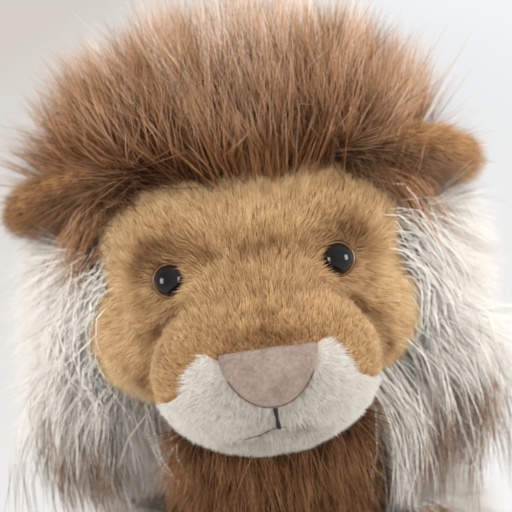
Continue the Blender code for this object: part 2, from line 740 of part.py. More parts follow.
def build_gusset():
    """A round patch of cloth under the neck's end, curved as the head ball is."""
    gusset = head_ball("neck_gusset", GUSSET_GAP + GUSSET_THICKNESS, cream_pile, GUSSET_FACETS)
    below = HEAD - Vector((0, 0, HEAD_BALL_RADIUS + GUSSET_THICKNESS + CUT_OVERRUN))
    keep_inside(gusset, bar("gusset_rim", HEAD, below, GUSSET_RADIUS, GUSSET_RIM_FACETS))
    cut(gusset, head_ball("gusset_face", GUSSET_GAP, facets=GUSSET_FACETS))
    hang([gusset], "neck_axis", HEAD)


def body_form(name, finish, inset):
    """The body's pear shape with its dish, seat, leg flats and tail socket, all set in by inset."""
    blobs = [(HIPS, grown(HIPS_RADII, -inset)), (CHEST, grown(CHEST_RADII, -inset))]
    form = stuffed_form(name, finish, blobs, BALL_FACETS)
    room = SHOULDER_POCKET_CLEARANCE + inset
    discs = [
        (-SHOULDER_FORWARD, SHOULDER_HEIGHT, SHOULDER_RADIUS + room),
        (-WRIST_FORWARD, WRIST_HEIGHT, WRIST_RADIUS + room),
    ]
    for word, side in LEFT_AND_RIGHT:
        cut(form, slot(f"{name}_pocket_{word}", discs, side * (SHOULDER_PLANE - inset), side * WHOLE))
        hip_corner = (side * (HIP_PLANE - inset), -WHOLE, -WHOLE)
        cut(form, box(f"{name}_hip_{word}", hip_corner, (side * WHOLE, WHOLE, WHOLE)))
    cut(form, head_ball(f"{name}_dish", DISH_CLEARANCE + inset))
    cut(form, box(f"{name}_seat", (-WHOLE, -WHOLE, -WHOLE), (WHOLE, WHOLE, inset)))
    return cut(form, tail_socket(f"{name}_tail_socket", TAIL_CLEARANCE + inset))


def seam_bars(name, reach, shrink):
    """Bars through the body's wall at each leg's seam.

    They end past the seam by reach, and are thinner than the seam's opening by shrink.
    """
    bars = []
    for word, side in LEFT_AND_RIGHT:
        seams = (
            ("shoulder", Vector((side * SHOULDER_PLANE, -SHOULDER_FORWARD, SHOULDER_HEIGHT))),
            ("hip", Vector((side * HIP_PLANE, HIP_SETBACK, HIP_HEIGHT))),
        )
        for seam, at in seams:
            start = at - Vector((side * (COVER_THICKNESS + CUT_OVERRUN), 0, 0))
            end = at + Vector((side * reach, 0, 0))
            bars.append(bar(f"{name}_{seam}_{word}", start, end, SEAM_OPENINGS[seam] - shrink))
    return bars


def build_body():
    cover = body_form("body_cover", golden_pile, 0)
    under_head = Vector((HEAD.x, HEAD.y, CHEST.z))
    gusset_way = bar("gusset_way", HEAD, under_head, GUSSET_RADIUS + GUSSET_GAP, GUSSET_RIM_FACETS)
    cut(cover, body_form("body_hollow", None, COVER_THICKNESS), gusset_way)
    cut(cover, *seam_bars("way", CUT_OVERRUN, 0))

    bag_middle = Vector((0, HIPS.y / 2, PELLET_BAG_RISE))
    bag_radii = (PELLET_BAG_HALF_WIDTH, PELLET_BAG_HALF_DEPTH, PELLET_BAG_HALF_HEIGHT)
    ellipsoid("pellet_bag", pellet_cloth, bag_middle, bag_radii, facets=LIMB_FACETS)
    bag_room = ellipsoid(
        "pellet_bag_room", None, bag_middle, grown(bag_radii, SEAM_GAP), facets=LIMB_FACETS
    )
    # The bag is laid in from below, so the stuffing is open under it
    bag_way = bar(
        "pellet_bag_way", bag_middle, bag_middle * Vector((1, 1, 0)), PELLET_BAG_HALF_DEPTH / 2
    )
    stuffing = body_form("body_stuffing", stuffing_fibre, STUFFING_INSET)
    join(stuffing, *seam_bars("plug", 0, SEAM_GAP))
    cut(stuffing, bag_room, bag_way)


# Mane on the body


def foreleg_sweep():
    """Discs round the shoulder, and round the paw on its way from rest to fully raised."""
    discs = [(-SHOULDER_FORWARD, SHOULDER_HEIGHT, SHOULDER_RADIUS + SHOULDER_POCKET_CLEARANCE)]
    reach = Vector((WRIST_FORWARD - SHOULDER_FORWARD, SHOULDER_HEIGHT - WRIST_HEIGHT))
    rest = math.atan2(reach.x, reach.y)
    for step in range(SWEEP_STEPS + 1):
        angle = rest + FORELEG_RAISE * step / SWEEP_STEPS
        y = -SHOULDER_FORWARD - reach.length * math.sin(angle)
        z = SHOULDER_HEIGHT - reach.length * math.cos(angle)
        discs.append((y, z, FORE_PAW_HALF_LENGTH))
    return discs


def hair_on_body(name, finish, top, tip, fat):
    """A tuft that swells from its root at top, then thins to its tip, and lies on the body's cover."""
    swell = top.lerp(tip, HAIR_SWELL_SHARE)
    blobs = [(top, fat * HAIR_ROOT_SHARE), (swell, fat), (tip, fat * HAIR_TIP_SHARE)]
    tuft = stuffed_form(name, finish, blobs, HAIR_FACETS)
    room = [(HIPS, grown(HIPS_RADII, SEAM_GAP)), (CHEST, grown(CHEST_RADII, SEAM_GAP))]
    cut(tuft, stuffed_form(f"{name}_body", None, room, BALL_FACETS))
    return cut(tuft, head_ball(f"{name}_ball", DISH_CLEARANCE))


def build_body_mane():
    thick = BREAST_HALF_THICKNESS
    top = Vector((0, CHEST.y - CHEST_HALF_DEPTH - thick / 4, BREAST_TOP))
    tip = top - Vector((0, thick / 2, BREAST_LENGTH))
    hair_on_body("breast_mane", brown_mane, top, tip, Vector((BREAST_HALF_WIDTH, thick, thick)))

    thick = NAPE_HALF_THICKNESS
    top = Vector((0, CHEST.y + CHEST_HALF_DEPTH, BREAST_TOP))
    tip = top - Vector((0, -thick / 2, NAPE_LENGTH))
    hair_on_body("nape_mane", brown_mane, top, tip, Vector((NAPE_HALF_WIDTH, thick, thick)))

    thick = CAPE_HALF_THICKNESS
    for word, side in LEFT_AND_RIGHT:
        inner = side * (HIP_PLANE + SEAM_GAP)
        top = Vector((side * FORELEG_X, -SHOULDER_FORWARD / 2, SHOULDER_HEIGHT + SHOULDER_RADIUS))
        tip = Vector((inner + side * thick, top.y, top.z - CAPE_LENGTH))
        fat = Vector((CAPE_HALF_WIDTH, CAPE_HALF_DEPTH, thick))
        cape = hair_on_body(f"shoulder_mane_{word}", white_mane, top, tip, fat)
        leg_room = slot(f"foreleg_room_{word}", foreleg_sweep(), 0, inner)
        below = box(f"foreleg_below_{word}", (0, -WHOLE, -WHOLE), (inner, WHOLE, SHOULDER_HEIGHT))
        cut(cape, leg_room, below)


# Legs


def stuffed_leg(name, side, hinge, seam_radius, outer, form):
    """A leg's cover, with a round opening in its flat seam face, and its stuffing.

    form(name, finish, inset) makes the leg's shape. The seam face is round the hinge point, square to X.
    """
    opening = seam_radius * SEAM_OPENING_SHARE
    inner = hinge.x

    def layer(owner, inset):
        low = (inner + side * inset, -WHOLE, inset)
        return box(f"{owner}_layer", low, (outer - side * inset, WHOLE, WHOLE))

    cover = form(f"{name}_cover", golden_pile, 0)
    keep_inside(cover, layer(f"{name}_cover", 0))
    hollow = form(f"{name}_hollow", None, COVER_THICKNESS)
    keep_inside(hollow, layer(f"{name}_hollow", COVER_THICKNESS))
    middle = Vector(((inner + outer) / 2, hinge.y, hinge.z))
    past_seam = hinge - Vector((side * CUT_OVERRUN, 0, 0))
    cut(cover, hollow, bar(f"{name}_opening", middle, past_seam, opening))

    stuffing = form(f"{name}_stuffing", stuffing_fibre, STUFFING_INSET)
    keep_inside(stuffing, layer(f"{name}_stuffing", STUFFING_INSET))
    join(stuffing, bar(f"{name}_plug", middle, hinge, opening - SEAM_GAP))
    return cover, stuffing


def stitch_toes(leg, side, cover, middle, half_width):
    """Three sewn lines over the front of a paw, laid on the cover that is there."""
    tree = surface(cover)
    made = []
    for word, across in (("inner", -1), ("middle", 0), ("outer", 1)):
        start = middle + Vector((side * across * TOE_SPREAD_SHARE * half_width, 0, 0))
        points = []
        for step in range(TOE_POINTS):
            angle = TOE_LOW_ANGLE + (TOE_HIGH_ANGLE - TOE_LOW_ANGLE) * step / (TOE_POINTS - 1)
            out = Vector((0, -math.cos(angle), math.sin(angle)))
            hit, normal, _, _ = tree.ray_cast(start + out * WHOLE, -out)
            points.append(hit + normal * (THREAD_LIFT + THREAD_RADIUS))
        made.append(thread(f"{leg}_toe_{word}", brown_thread, points))
    return made


def build_foreleg(word, side):
    x = side * FORELEG_X
    outer = x + side * FORELEG_HALF_WIDTH
    hinge = Vector((x - side * FORELEG_HALF_WIDTH, -SHOULDER_FORWARD, SHOULDER_HEIGHT))
    top = Vector((x - side * LEG_FLAT_DEPTH / 2, hinge.y, hinge.z))
    wrist = Vector((x, -WRIST_FORWARD, WRIST_HEIGHT))
    paw = Vector((x, -WRIST_FORWARD - FORE_PAW_REACH, FORE_PAW_HALF_HEIGHT - FLOOR_CUT))

    def form(name, finish, inset):
        top_radii = (FORELEG_HALF_WIDTH + LEG_FLAT_DEPTH / 2, SHOULDER_RADIUS, SHOULDER_RADIUS)
        wrist_radii = (WRIST_RADIUS,) * 3
        paw_radii = (FORELEG_HALF_WIDTH, FORE_PAW_HALF_LENGTH, FORE_PAW_HALF_HEIGHT)
        blobs = [(top, grown(top_radii, -inset)), (wrist, grown(wrist_radii, -inset))]
        foot = ellipsoid(f"{name}_paw", None, paw, grown(paw_radii, -inset), facets=LIMB_FACETS)
        return join(stuffed_form(name, finish, blobs), foot)

    cover, stuffing = stuffed_leg(f"foreleg_{word}", side, hinge, SHOULDER_RADIUS, outer, form)
    toes = stitch_toes(f"foreleg_{word}", side, cover, paw, FORELEG_HALF_WIDTH)
    hang([cover, stuffing, *toes], f"shoulder_axis_{word}", hinge)


def build_hindleg(word, side):
    x = side * HINDLEG_X
    outer = x + side * HINDLEG_HALF_WIDTH
    hinge = Vector((x - side * HINDLEG_HALF_WIDTH, HIP_SETBACK, HIP_HEIGHT))
    top = Vector((x - side * LEG_FLAT_DEPTH / 2, hinge.y, hinge.z))
    heel = Vector((x, -HEEL_FORWARD, HEEL_RADIUS - FLOOR_CUT))
    paw = Vector((x, -HIND_PAW_FORWARD, HIND_PAW_HALF_HEIGHT - FLOOR_CUT))

    def form(name, finish, inset):
        thigh_radii = (HINDLEG_HALF_WIDTH + LEG_FLAT_DEPTH / 2, THIGH_RADIUS, THIGH_RADIUS)
        paw_radii = (HINDLEG_HALF_WIDTH, HIND_PAW_HALF_LENGTH, HIND_PAW_HALF_HEIGHT)
        blobs = [(heel, grown((HEEL_RADIUS,) * 3, -inset)), (paw, grown(paw_radii, -inset))]
        thigh = ellipsoid(name, finish, top, grown(thigh_radii, -inset))
        return join(thigh, stuffed_form(f"{name}_foot", None, blobs))

    cover, stuffing = stuffed_leg(f"hindleg_{word}", side, hinge, THIGH_RADIUS, outer, form)
    toes = stitch_toes(f"hindleg_{word}", side, cover, paw, HINDLEG_HALF_WIDTH)
    hang([cover, stuffing, *toes], f"hip_axis_{word}", hinge)


# Tail


def tail_root():
    """The tail's hinge point: the back of the hips at the height of the tail."""
    share = 1 - ((TAIL_ROOT_HEIGHT - HIPS.z) / HIPS_HALF_HEIGHT) ** 2
    return Vector((0, HIPS.y + HIPS_HALF_DEPTH * math.sqrt(share), TAIL_ROOT_HEIGHT))


def tail_socket(name, grow):
    """Room for the tail's root, and for its first stretch as it swings to both sides."""
    root = tail_root()
    radii = grown((TAIL_ROOT_RADIUS,) * 3, grow)
    blobs = [(root, radii)]
    for angle in (-TAIL_SWING, 0, TAIL_SWING):
        reach = Vector((math.sin(angle), math.cos(angle), 0)) * (TAIL_LENGTH / 2)
        blobs.append((root + reach, radii))
    return stuffed_form(name, None, blobs)


def build_tail():
    root = tail_root()
    tuft_height = TUFT_HALF_HEIGHT + SEAM_GAP
    end = Vector((0, root.y + TAIL_LENGTH, tuft_height))

    def form(name, finish, inset):
        blobs = [
            (root, grown((TAIL_ROOT_RADIUS,) * 3, -inset)),
            (end, grown((TAIL_TIP_RADIUS,) * 3, -inset)),
        ]
        return stuffed_form(name, finish, blobs)

    cover = form("tail_cover", golden_pile, 0)
    past_end = box("tail_mouth", (-WHOLE, end.y, -WHOLE), (WHOLE, WHOLE, WHOLE))
    cut(cover, form("tail_hollow", None, COVER_THICKNESS), past_end)
    stuffing = cut(form("tail_stuffing", stuffing_fibre, STUFFING_INSET), past_end)
    middle = Vector((0, end.y + TUFT_HALF_LENGTH - TUFT_OVERLAP, tuft_height))
    radii = (TUFT_HALF_WIDTH, TUFT_HALF_LENGTH, TUFT_HALF_HEIGHT)
    tuft = ellipsoid("tail_tuft", brown_mane, middle, radii, facets=LIMB_FACETS)
    cut(tuft, form("tail_room", None, -SEAM_GAP))
    hang([cover, stuffing, tuft], "tail_axis", root)


def weld_cuts():
    """Closes up the points that two cuts leave on top of each other where they cross."""
    for piece in lion.objects:
        if any(step.type == "BOOLEAN" for step in piece.modifiers):
            weld = piece.modifiers.new("weld", "WELD")
            weld.merge_threshold = POINT_MERGE


def build_lion():
    clear_scene()
    head = build_head()
    ears = [build_ear(word, side) for word, side in LEFT_AND_RIGHT]
    head += build_head_mane([ear_room(word, side) for word, side in LEFT_AND_RIGHT])
    hang([*head, *ears], "head_axis", HEAD)
    build_gusset()
    build_body()
    build_body_mane()
    for word, side in LEFT_AND_RIGHT:
        build_foreleg(word, side)
        build_hindleg(word, side)
    build_tail()
    weld_cuts()


build_lion()
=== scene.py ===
"""A sitting plush lion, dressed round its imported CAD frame.

Metres, +Z up. The lion faces -Y and its own left is +X. Colours are written in sRGB, up to 255.
Every hair is a real three-sided strand, so the coat keeps its depth from all sides.
"""

import math

import bmesh
import bpy
import numpy as np
from mathutils import Matrix, Vector, noise
from mathutils.bvhtree import BVHTree


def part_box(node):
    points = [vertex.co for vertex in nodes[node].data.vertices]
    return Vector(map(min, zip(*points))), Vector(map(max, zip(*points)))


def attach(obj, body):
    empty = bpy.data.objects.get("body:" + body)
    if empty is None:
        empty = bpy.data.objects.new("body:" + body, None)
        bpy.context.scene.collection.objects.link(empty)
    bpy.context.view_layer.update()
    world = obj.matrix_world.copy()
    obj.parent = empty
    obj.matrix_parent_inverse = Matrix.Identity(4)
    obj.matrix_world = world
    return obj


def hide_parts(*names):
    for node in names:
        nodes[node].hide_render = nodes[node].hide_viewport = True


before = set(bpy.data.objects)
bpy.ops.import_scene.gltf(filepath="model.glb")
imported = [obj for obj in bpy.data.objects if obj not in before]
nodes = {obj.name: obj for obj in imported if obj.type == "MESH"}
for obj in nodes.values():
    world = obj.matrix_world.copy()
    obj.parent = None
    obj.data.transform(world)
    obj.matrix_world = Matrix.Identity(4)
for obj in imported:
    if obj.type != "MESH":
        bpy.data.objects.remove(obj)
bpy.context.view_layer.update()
scene = bpy.context.scene
scene.view_settings.view_transform = "Standard"


# Camera: a close view of the face from the front and slightly above, held a little askew, so that
# the lion's eyes lie on a line that rises to the right. It is focused just in front of the eyes.
eyes_middle = Vector((0, -0.049, 0.2456))
camera_distance = 0.520
camera_rise = math.radians(12)
camera_roll = math.radians(-7.36)
picture_width = 512  # pixels
metres_per_pixel = 0.000343  # at the eyes
eyes_right, eyes_down = -2.25, 13.75  # pixels from the picture's middle to the middle of the eyes
focus_ahead = 0.012

lens = bpy.data.cameras.new("camera")
lens.sensor_width = 36
lens.lens = lens.sensor_width * camera_distance / (picture_width * metres_per_pixel)
lens.clip_start = 0.05
focus = bpy.data.objects.new("focus", None)
focus.location = eyes_middle - Vector((0, focus_ahead, 0))
scene.collection.objects.link(focus)
lens.dof.use_dof = True
lens.dof.focus_object = focus
lens.dof.aperture_fstop = 8
camera = bpy.data.objects.new("camera", lens)
scene.collection.objects.link(camera)
scene.camera = camera
look = Matrix.Rotation(math.pi / 2 - camera_rise, 4, "X") @ Matrix.Rotation(camera_roll, 4, "Z")
back = look @ Vector((-eyes_right * metres_per_pixel, eyes_down * metres_per_pixel, camera_distance))
camera.matrix_world = Matrix.Translation(eyes_middle + back) @ look


# Studio: a wide pale floor in a pale room, a window light from each side, and a soft light from
# above. The room fills in the shadows.
def paint(colour):
    """A linear colour with its alpha, from three sRGB numbers up to 255."""
    shares = (part / 255 for part in colour)
    return (*(c / 12.92 if c < 0.04045 else ((c + 0.055) / 1.055) ** 2.4 for c in shares), 1)


def plain_finish(name, colour, roughness):
    """A material with one Principled shader, for the sections below to add their patterns to."""
    made = bpy.data.materials.new(name)
    made.use_nodes = True
    shader = made.node_tree.nodes["Principled BSDF"]
    shader.inputs["Base Color"].default_value = paint(colour)
    shader.inputs["Roughness"].default_value = roughness
    return made, made.node_tree, shader


def add_step(tree, kind, inputs, **settings):
    """Adds a step whose inputs are plain values or other steps' outputs. Returns its own outputs."""
    step = tree.nodes.new(kind)
    for word, value in settings.items():
        setattr(step, word, value)
    for place, value in inputs.items():
        if isinstance(value, bpy.types.NodeSocket):
            tree.links.new(value, step.inputs[place])
        else:
            step.inputs[place].default_value = value
    return step.outputs


def shades(tree, source, colours, low=0.0, high=1.0):
    """A colour that runs evenly through some colours as source runs from low to high."""
    band = tree.nodes.new("ShaderNodeValToRGB")
    stops = band.color_ramp.elements
    while len(stops) < len(colours):
        stops.new(0.5)
    for step, colour in enumerate(colours):
        stops[step].position = low + (high - low) * step / (len(colours) - 1)
        stops[step].color = paint(colour)
    tree.links.new(source, band.inputs["Fac"])
    return band.outputs["Color"]


def warm_to_cool(tree, source, far):
    """The colour of what stands behind the lion: warm and dimmer at -far in x, cool and pale at far."""
    place = add_step(tree, "ShaderNodeTexCoord", {})[source]
    across = add_step(tree, "ShaderNodeSeparateXYZ", {"Vector": place})["X"]
    spread = add_step(tree, "ShaderNodeMapRange", {"Value": across, "From Min": -far, "From Max": far})
    return shades(tree, spread["Result"], [(210, 203, 195), (243, 246, 249)])


def in_plain_view(tree):
    """An output that is 1 for what the camera sees straight, in a gloss or through something clear."""
    seen = add_step(tree, "ShaderNodeLightPath", {})
    total = seen["Is Camera Ray"]
    for way in ("Is Glossy Ray", "Is Transmission Ray"):
        total = add_step(tree, "ShaderNodeMath", {0: total, 1: seen[way]}, operation="ADD", use_clamp=True)[0]
    return total


def blend_shaders(tree, share, under, over, end):
    """Sends a mix of two shaders to the end of the tree: share of the one that lies over."""
    both = add_step(tree, "ShaderNodeMixShader", {"Fac": share, 1: under, 2: over})
    tree.links.new(both[0], tree.nodes[end].inputs["Surface"])


floor_radius = 40
ground = bmesh.new()
bmesh.ops.create_circle(ground, cap_ends=True, segments=96, radius=floor_radius)
ground_mesh = bpy.data.meshes.new("floor")
ground.to_mesh(ground_mesh)
ground.free()
floor = bpy.data.objects.new("floor", ground_mesh)
scene.collection.objects.link(floor)
paper, tree, shader = plain_finish("floor_paper", (226, 224, 221), 0.9)
bright = add_step(tree, "ShaderNodeEmission", {"Color": warm_to_cool(tree, "Object", 0.9), "Strength": 1.2})
shadow_left = 0.25  # the floor keeps some of the lion's shadow
share = add_step(tree, "ShaderNodeMath", {0: in_plain_view(tree), 1: 1 - shadow_left}, operation="MULTIPLY")
blend_shaders(tree, share[0], shader.outputs[0], bright[0], "Material Output")
ground_mesh.materials.append(paper)

world = bpy.data.worlds.new("room")
scene.world = world
world.use_nodes = True
tree = world.node_tree
sky = tree.nodes["Background"]
sky.inputs["Color"].default_value = paint((235, 240, 245))
sky.inputs["Strength"].default_value = 0.45
wall = add_step(tree, "ShaderNodeBackground", {"Color": warm_to_cool(tree, "Generated", 0.4)})
blend_shaders(tree, in_plain_view(tree), sky.outputs[0], wall[0], "World Output")

for name, place, size, watts in (
    ("window_left", (-0.88, -0.60, 0.42), 0.45, 8.0),
    ("window_right", (0.95, -0.54, 0.40), 0.45, 9.0),
    ("light_above", (0.1, -0.05, 1.20), 0.8, 9.0),
):
    lamp = bpy.data.lights.new(name, "AREA")
    lamp.energy = watts
    lamp.size = size
    lamp.color = (1.0, 0.985, 0.96)
    stand = bpy.data.objects.new(name, lamp)
    aim = Vector((0, -0.03, 0.23)) - Vector(place)
    stand.matrix_world = Matrix.Translation(place) @ aim.to_track_quat("-Z", "Y").to_matrix().to_4x4()
    stand.visible_glossy = name != "light_above"
    scene.collection.objects.link(stand)


# Head skin: knitted backing cloth sewn from a crown, two cheeks and a wide brow, filled tight. Its
# forehead has two soft bumps, and the eyes' posts pull it in round them.
head_middle = Vector((0, -0.010, 0.232))
both_sides = (("left", 1), ("right", -1))
eye_seats = {word: Vector((side * 0.0288, -0.0489, 0.2456)) for word, side in both_sides}


def add_ball(bm, centre, radii):
    bmesh.ops.create_icosphere(bm, subdivisions=4, radius=1,
                               matrix=Matrix.Translation(centre) @ Matrix.Diagonal((*radii, 1)))


def make_piece(name, bm):
    """The bmesh as a smooth-shaded object, with its place in its mesh."""
    mesh = bpy.data.meshes.new(name)
    bm.to_mesh(mesh)
    bm.free()
    mesh.shade_smooth()
    piece = bpy.data.objects.new(name, mesh)
    scene.collection.objects.link(piece)
    return piece


def tree_of(piece):
    """A piece's surface, to be asked what lies nearest and where a line meets it."""
    return BVHTree.FromObject(piece, bpy.context.evaluated_depsgraph_get())


def settle(piece):
    """Applies the piece's modifiers."""
    bpy.context.view_layer.update()
    held = bpy.data.meshes.new_from_object(piece.evaluated_get(bpy.context.evaluated_depsgraph_get()))
    old = piece.data
    piece.modifiers.clear()
    piece.data = held
    bpy.data.meshes.remove(old)
    held.name = piece.name
    held.shade_smooth()


def remesh(piece, voxel, smoothing):
    """Runs the piece's blobs together into one even skin."""
    step = piece.modifiers.new("remesh", "REMESH")
    step.mode = "VOXEL"
    step.voxel_size = voxel
    soften = piece.modifiers.new("soften", "SMOOTH")
    soften.factor = 0.5
    soften.iterations = smoothing
    settle(piece)


def points_of(piece):
    """The piece's points as rows of x, y, z."""
    found = np.empty(len(piece.data.vertices) * 3)
    piece.data.vertices.foreach_get("co", found)
    return found.reshape(-1, 3)


def normals_of(piece):
    found = np.empty(len(piece.data.vertices) * 3)
    piece.data.vertex_normals.foreach_get("vector", found)
    return found.reshape(-1, 3)


def move_points(piece, points):
    piece.data.vertices.foreach_set("co", points.ravel())
    piece.data.update()


cloth_frames = 20


def plump(piece, most, held=None):
    """Blows a skin up with Cloth, held where held(points) says, and no further than most anywhere."""
    rest = points_of(piece)
    cloth = piece.modifiers.new("cloth", "CLOTH")
    cloth.settings.use_pressure = True
    cloth.settings.uniform_pressure_force = 4
    cloth.settings.effector_weights.gravity = 0
    if held is not None:
        seam = piece.vertex_groups.new(name="seam")
        seam.add([int(i) for i in np.flatnonzero(held(rest))], 1, "REPLACE")
        cloth.settings.vertex_group_mass = "seam"
    for step in range(1, cloth_frames + 1):
        scene.frame_set(step)
    settle(piece)
    scene.frame_set(1)
    step = points_of(piece) - rest
    far = np.linalg.norm(step, axis=1, keepdims=True)
    move_points(piece, rest + step * np.minimum(1, most / np.maximum(far, 1e-9)))


def on_middle_seam(points):
    return np.abs(points[:, 0]) < 0.002


skull_radii = (0.056, 0.049, 0.042)
neck_radius, neck_length, neck_middle = 0.028, 0.070, 0.184
head = bmesh.new()
add_ball(head, head_middle, skull_radii)
muzzle_balls = (
    (np.array((0, -0.056, 0.213)), np.array((0.0385, 0.0325, 0.0280))),
    (np.array((0, -0.045, 0.2325)), np.array((0.0270, 0.0235, 0.0190))),
)
add_ball(head, muzzle_balls[1][0], muzzle_balls[1][1] - 0.001)
for word, side in both_sides:
    fuller = 0.0085 if side < 0 else 0.0025  # stuffed by hand, and more in its right cheek
    add_ball(head, (side * 0.024, -0.021, 0.222), (0.0320 + fuller, 0.031, 0.026))
    add_ball(head, (side * 0.025, -0.013, 0.249), (0.030, 0.034, 0.0255))
bmesh.ops.create_cone(head, cap_ends=True, segments=48, radius1=neck_radius, radius2=neck_radius,
                      depth=neck_length, matrix=Matrix.Translation((0, head_middle.y, neck_middle)))
head_skin = make_piece("head_skin", head)
remesh(head_skin, voxel=0.003, smoothing=10)
plump(head_skin, most=0.0015, held=on_middle_seam)
eye_dent, dent_radius = 0.0012, 0.008
at = points_of(head_skin)
out = normals_of(head_skin)
for seat in eye_seats.values():
    near = np.exp(-(np.linalg.norm(at - np.array(seat), axis=1) / dent_radius) ** 2)
    at -= out * (eye_dent * near)[:, None]
move_points(head_skin, at)


def cloudy(tree, scale, detail=2.0, distortion=0.0):
    """Noise that is fixed to the piece, for uneven colour and relief."""
    place = add_step(tree, "ShaderNodeTexCoord", {})["Object"]
    return add_step(tree, "ShaderNodeTexNoise",
                    {"Vector": place, "Scale": scale, "Detail": detail, "Distortion": distortion})["Fac"]


def colour_by(tree, shader, source, colours, low=0.0, high=1.0):
    tree.links.new(shades(tree, source, colours, low, high), shader.inputs["Base Color"])


def raise_by(tree, shader, source, strength, depth):
    """Fine relief, depth metres at most."""
    relief = add_step(tree, "ShaderNodeBump", {"Strength": strength, "Distance": depth, "Height": source})
    tree.links.new(relief["Normal"], shader.inputs["Normal"])


def knit_finish(name, light, dark, ribs):
    """Knitted backing cloth: fine ribs, with its colour uneven where the pile was dyed."""
    made, tree, shader = plain_finish(name, light, 0.95)
    colour_by(tree, shader, cloudy(tree, 140, detail=4), (dark, light), 0.35, 0.65)
    place = add_step(tree, "ShaderNodeTexCoord", {})["Object"]
    loops = add_step(tree, "ShaderNodeTexWave", {"Vector": place, "Scale": ribs, "Distortion": 1.5})
    raise_by(tree, shader, loops["Fac"], 0.4, 0.0003)
    return made


def dress(piece, finish, body, node):
    """Gives a piece its finish in a new material slot and the body that it moves with, and hides the CAD node
    that it stands for.
    """
    piece.data.materials.append(finish)
    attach(piece, body)
    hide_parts(node)


golden_knit = knit_finish("golden_knit", (196, 150, 100), (172, 126, 78), 900)
dress(head_skin, golden_knit, "head", "head_cover")


# Face pile: golden plush hairs about 5 mm long, dark at their roots and pale at their ends. They
# are combed up on the forehead and outwards on the cheeks, and lie over the eyes' inner edges.
def hair_shape(rings):
    """One straight hair of height 1 and radius 1: its points, and its faces as rows of corners."""
    bm = bmesh.new()
    bmesh.ops.create_cone(bm, cap_ends=True, segments=3, radius1=1, radius2=0, depth=1,
                          matrix=Matrix.Translation((0, 0, 0.5)))
    bmesh.ops.remove_doubles(bm, verts=bm.verts, dist=0.001)
    for ring in range(1, rings):
        bmesh.ops.bisect_plane(bm, geom=bm.verts[:] + bm.edges[:] + bm.faces[:],
                               plane_co=(0, 0, ring / rings), plane_no=(0, 0, 1))
    bmesh.ops.triangulate(bm, faces=bm.faces)
    bmesh.ops.recalc_face_normals(bm, faces=bm.faces)
    bm.verts.index_update()
    points = np.array([vert.co for vert in bm.verts])
    faces = np.array([[vert.index for vert in face.verts] for face in bm.faces])
    bm.free()
    return points, faces


def coat(name, roots, reach, bend, radius, tone, rings, wave=0.0, seed=0, facing=None):
    """Hairs as one mesh: each goes from its root through root + s * reach + s * s * bend, s being 0 to 1.

    Its UV map says how pale the hair is, and how far along it a point lies. Hairs are lit mostly
    as the cloth is that they grow on, where facing says which way that looks.
    """
    rng = np.random.default_rng(seed)
    shape, faces = hair_shape(rings)
    count, size = len(roots), len(shape)
    bend = np.broadcast_to(bend, (count, 3))
    s = shape[None, :, 2, None]
    angle = np.arctan2(shape[:, 1], shape[:, 0])
    at_tip = shape[:, 2] > 0.999
    line = roots[:, None] + s * reach[:, None] + s * s * bend[:, None]
    ahead = reach[:, None] + 2 * s * bend[:, None]
    ahead /= np.linalg.norm(ahead, axis=2, keepdims=True) + 1e-12
    across = np.cross(ahead, rng.normal(size=(count, 1, 3)))
    across /= np.linalg.norm(across, axis=2, keepdims=True) + 1e-12
    up = np.cross(ahead, across)
    if wave:
        phase = rng.uniform(0, 2 * math.pi, (count, 1, 1))
        length = np.linalg.norm(reach, axis=1)[:, None, None]
        line += up * length * wave * s * np.sin(phase + s * rng.uniform(3, 9, (count, 1, 1)))
    thick = (np.broadcast_to(radius, count)[:, None, None] * (1 - s**2.5) ** 0.8)
    thick = thick * np.where(at_tip, 0, 1)[None, :, None]
    turn = angle[None, :, None]
    places = line + thick * (across * np.cos(turn) + up * np.sin(turn))
    corners = (faces[None] + np.arange(count)[:, None, None] * size).reshape(-1)

    mesh = bpy.data.meshes.new(name)
    mesh.vertices.add(count * size)
    mesh.vertices.foreach_set("co", places.reshape(-1).astype(np.float32))
    mesh.loops.add(len(corners))
    mesh.loops.foreach_set("vertex_index", corners.astype(np.int32))
    mesh.polygons.add(len(corners) // 3)
    mesh.polygons.foreach_set("loop_start", np.arange(0, len(corners), 3, dtype=np.int32))
    mesh.update(calc_edges=True)
    mesh.shade_smooth()
    side = np.where(at_tip, 0, angle / math.pi) * 0.006
    u = 0.02 + 0.96 * np.clip(tone, 0, 1)[:, None] + side[None]
    v = 0.01 + 0.98 * np.broadcast_to(shape[None, :, 2], (count, size))
    both = np.stack([u, v], axis=2).reshape(-1, 2)
    mesh.uv_layers.new(name="OFBake").uv.foreach_set("vector", both[corners].reshape(-1).astype(np.float32))
    piece = bpy.data.objects.new(name, mesh)
    scene.collection.objects.link(piece)
    if facing is not None:
        softened = unit(normals_of(piece) * 0.45 + np.repeat(facing, size, axis=0))
        mesh.normals_split_custom_set_from_vertices(softened)
    return piece


def unit(rows):
    return rows / (np.linalg.norm(rows, axis=-1, keepdims=True) + 1e-12)


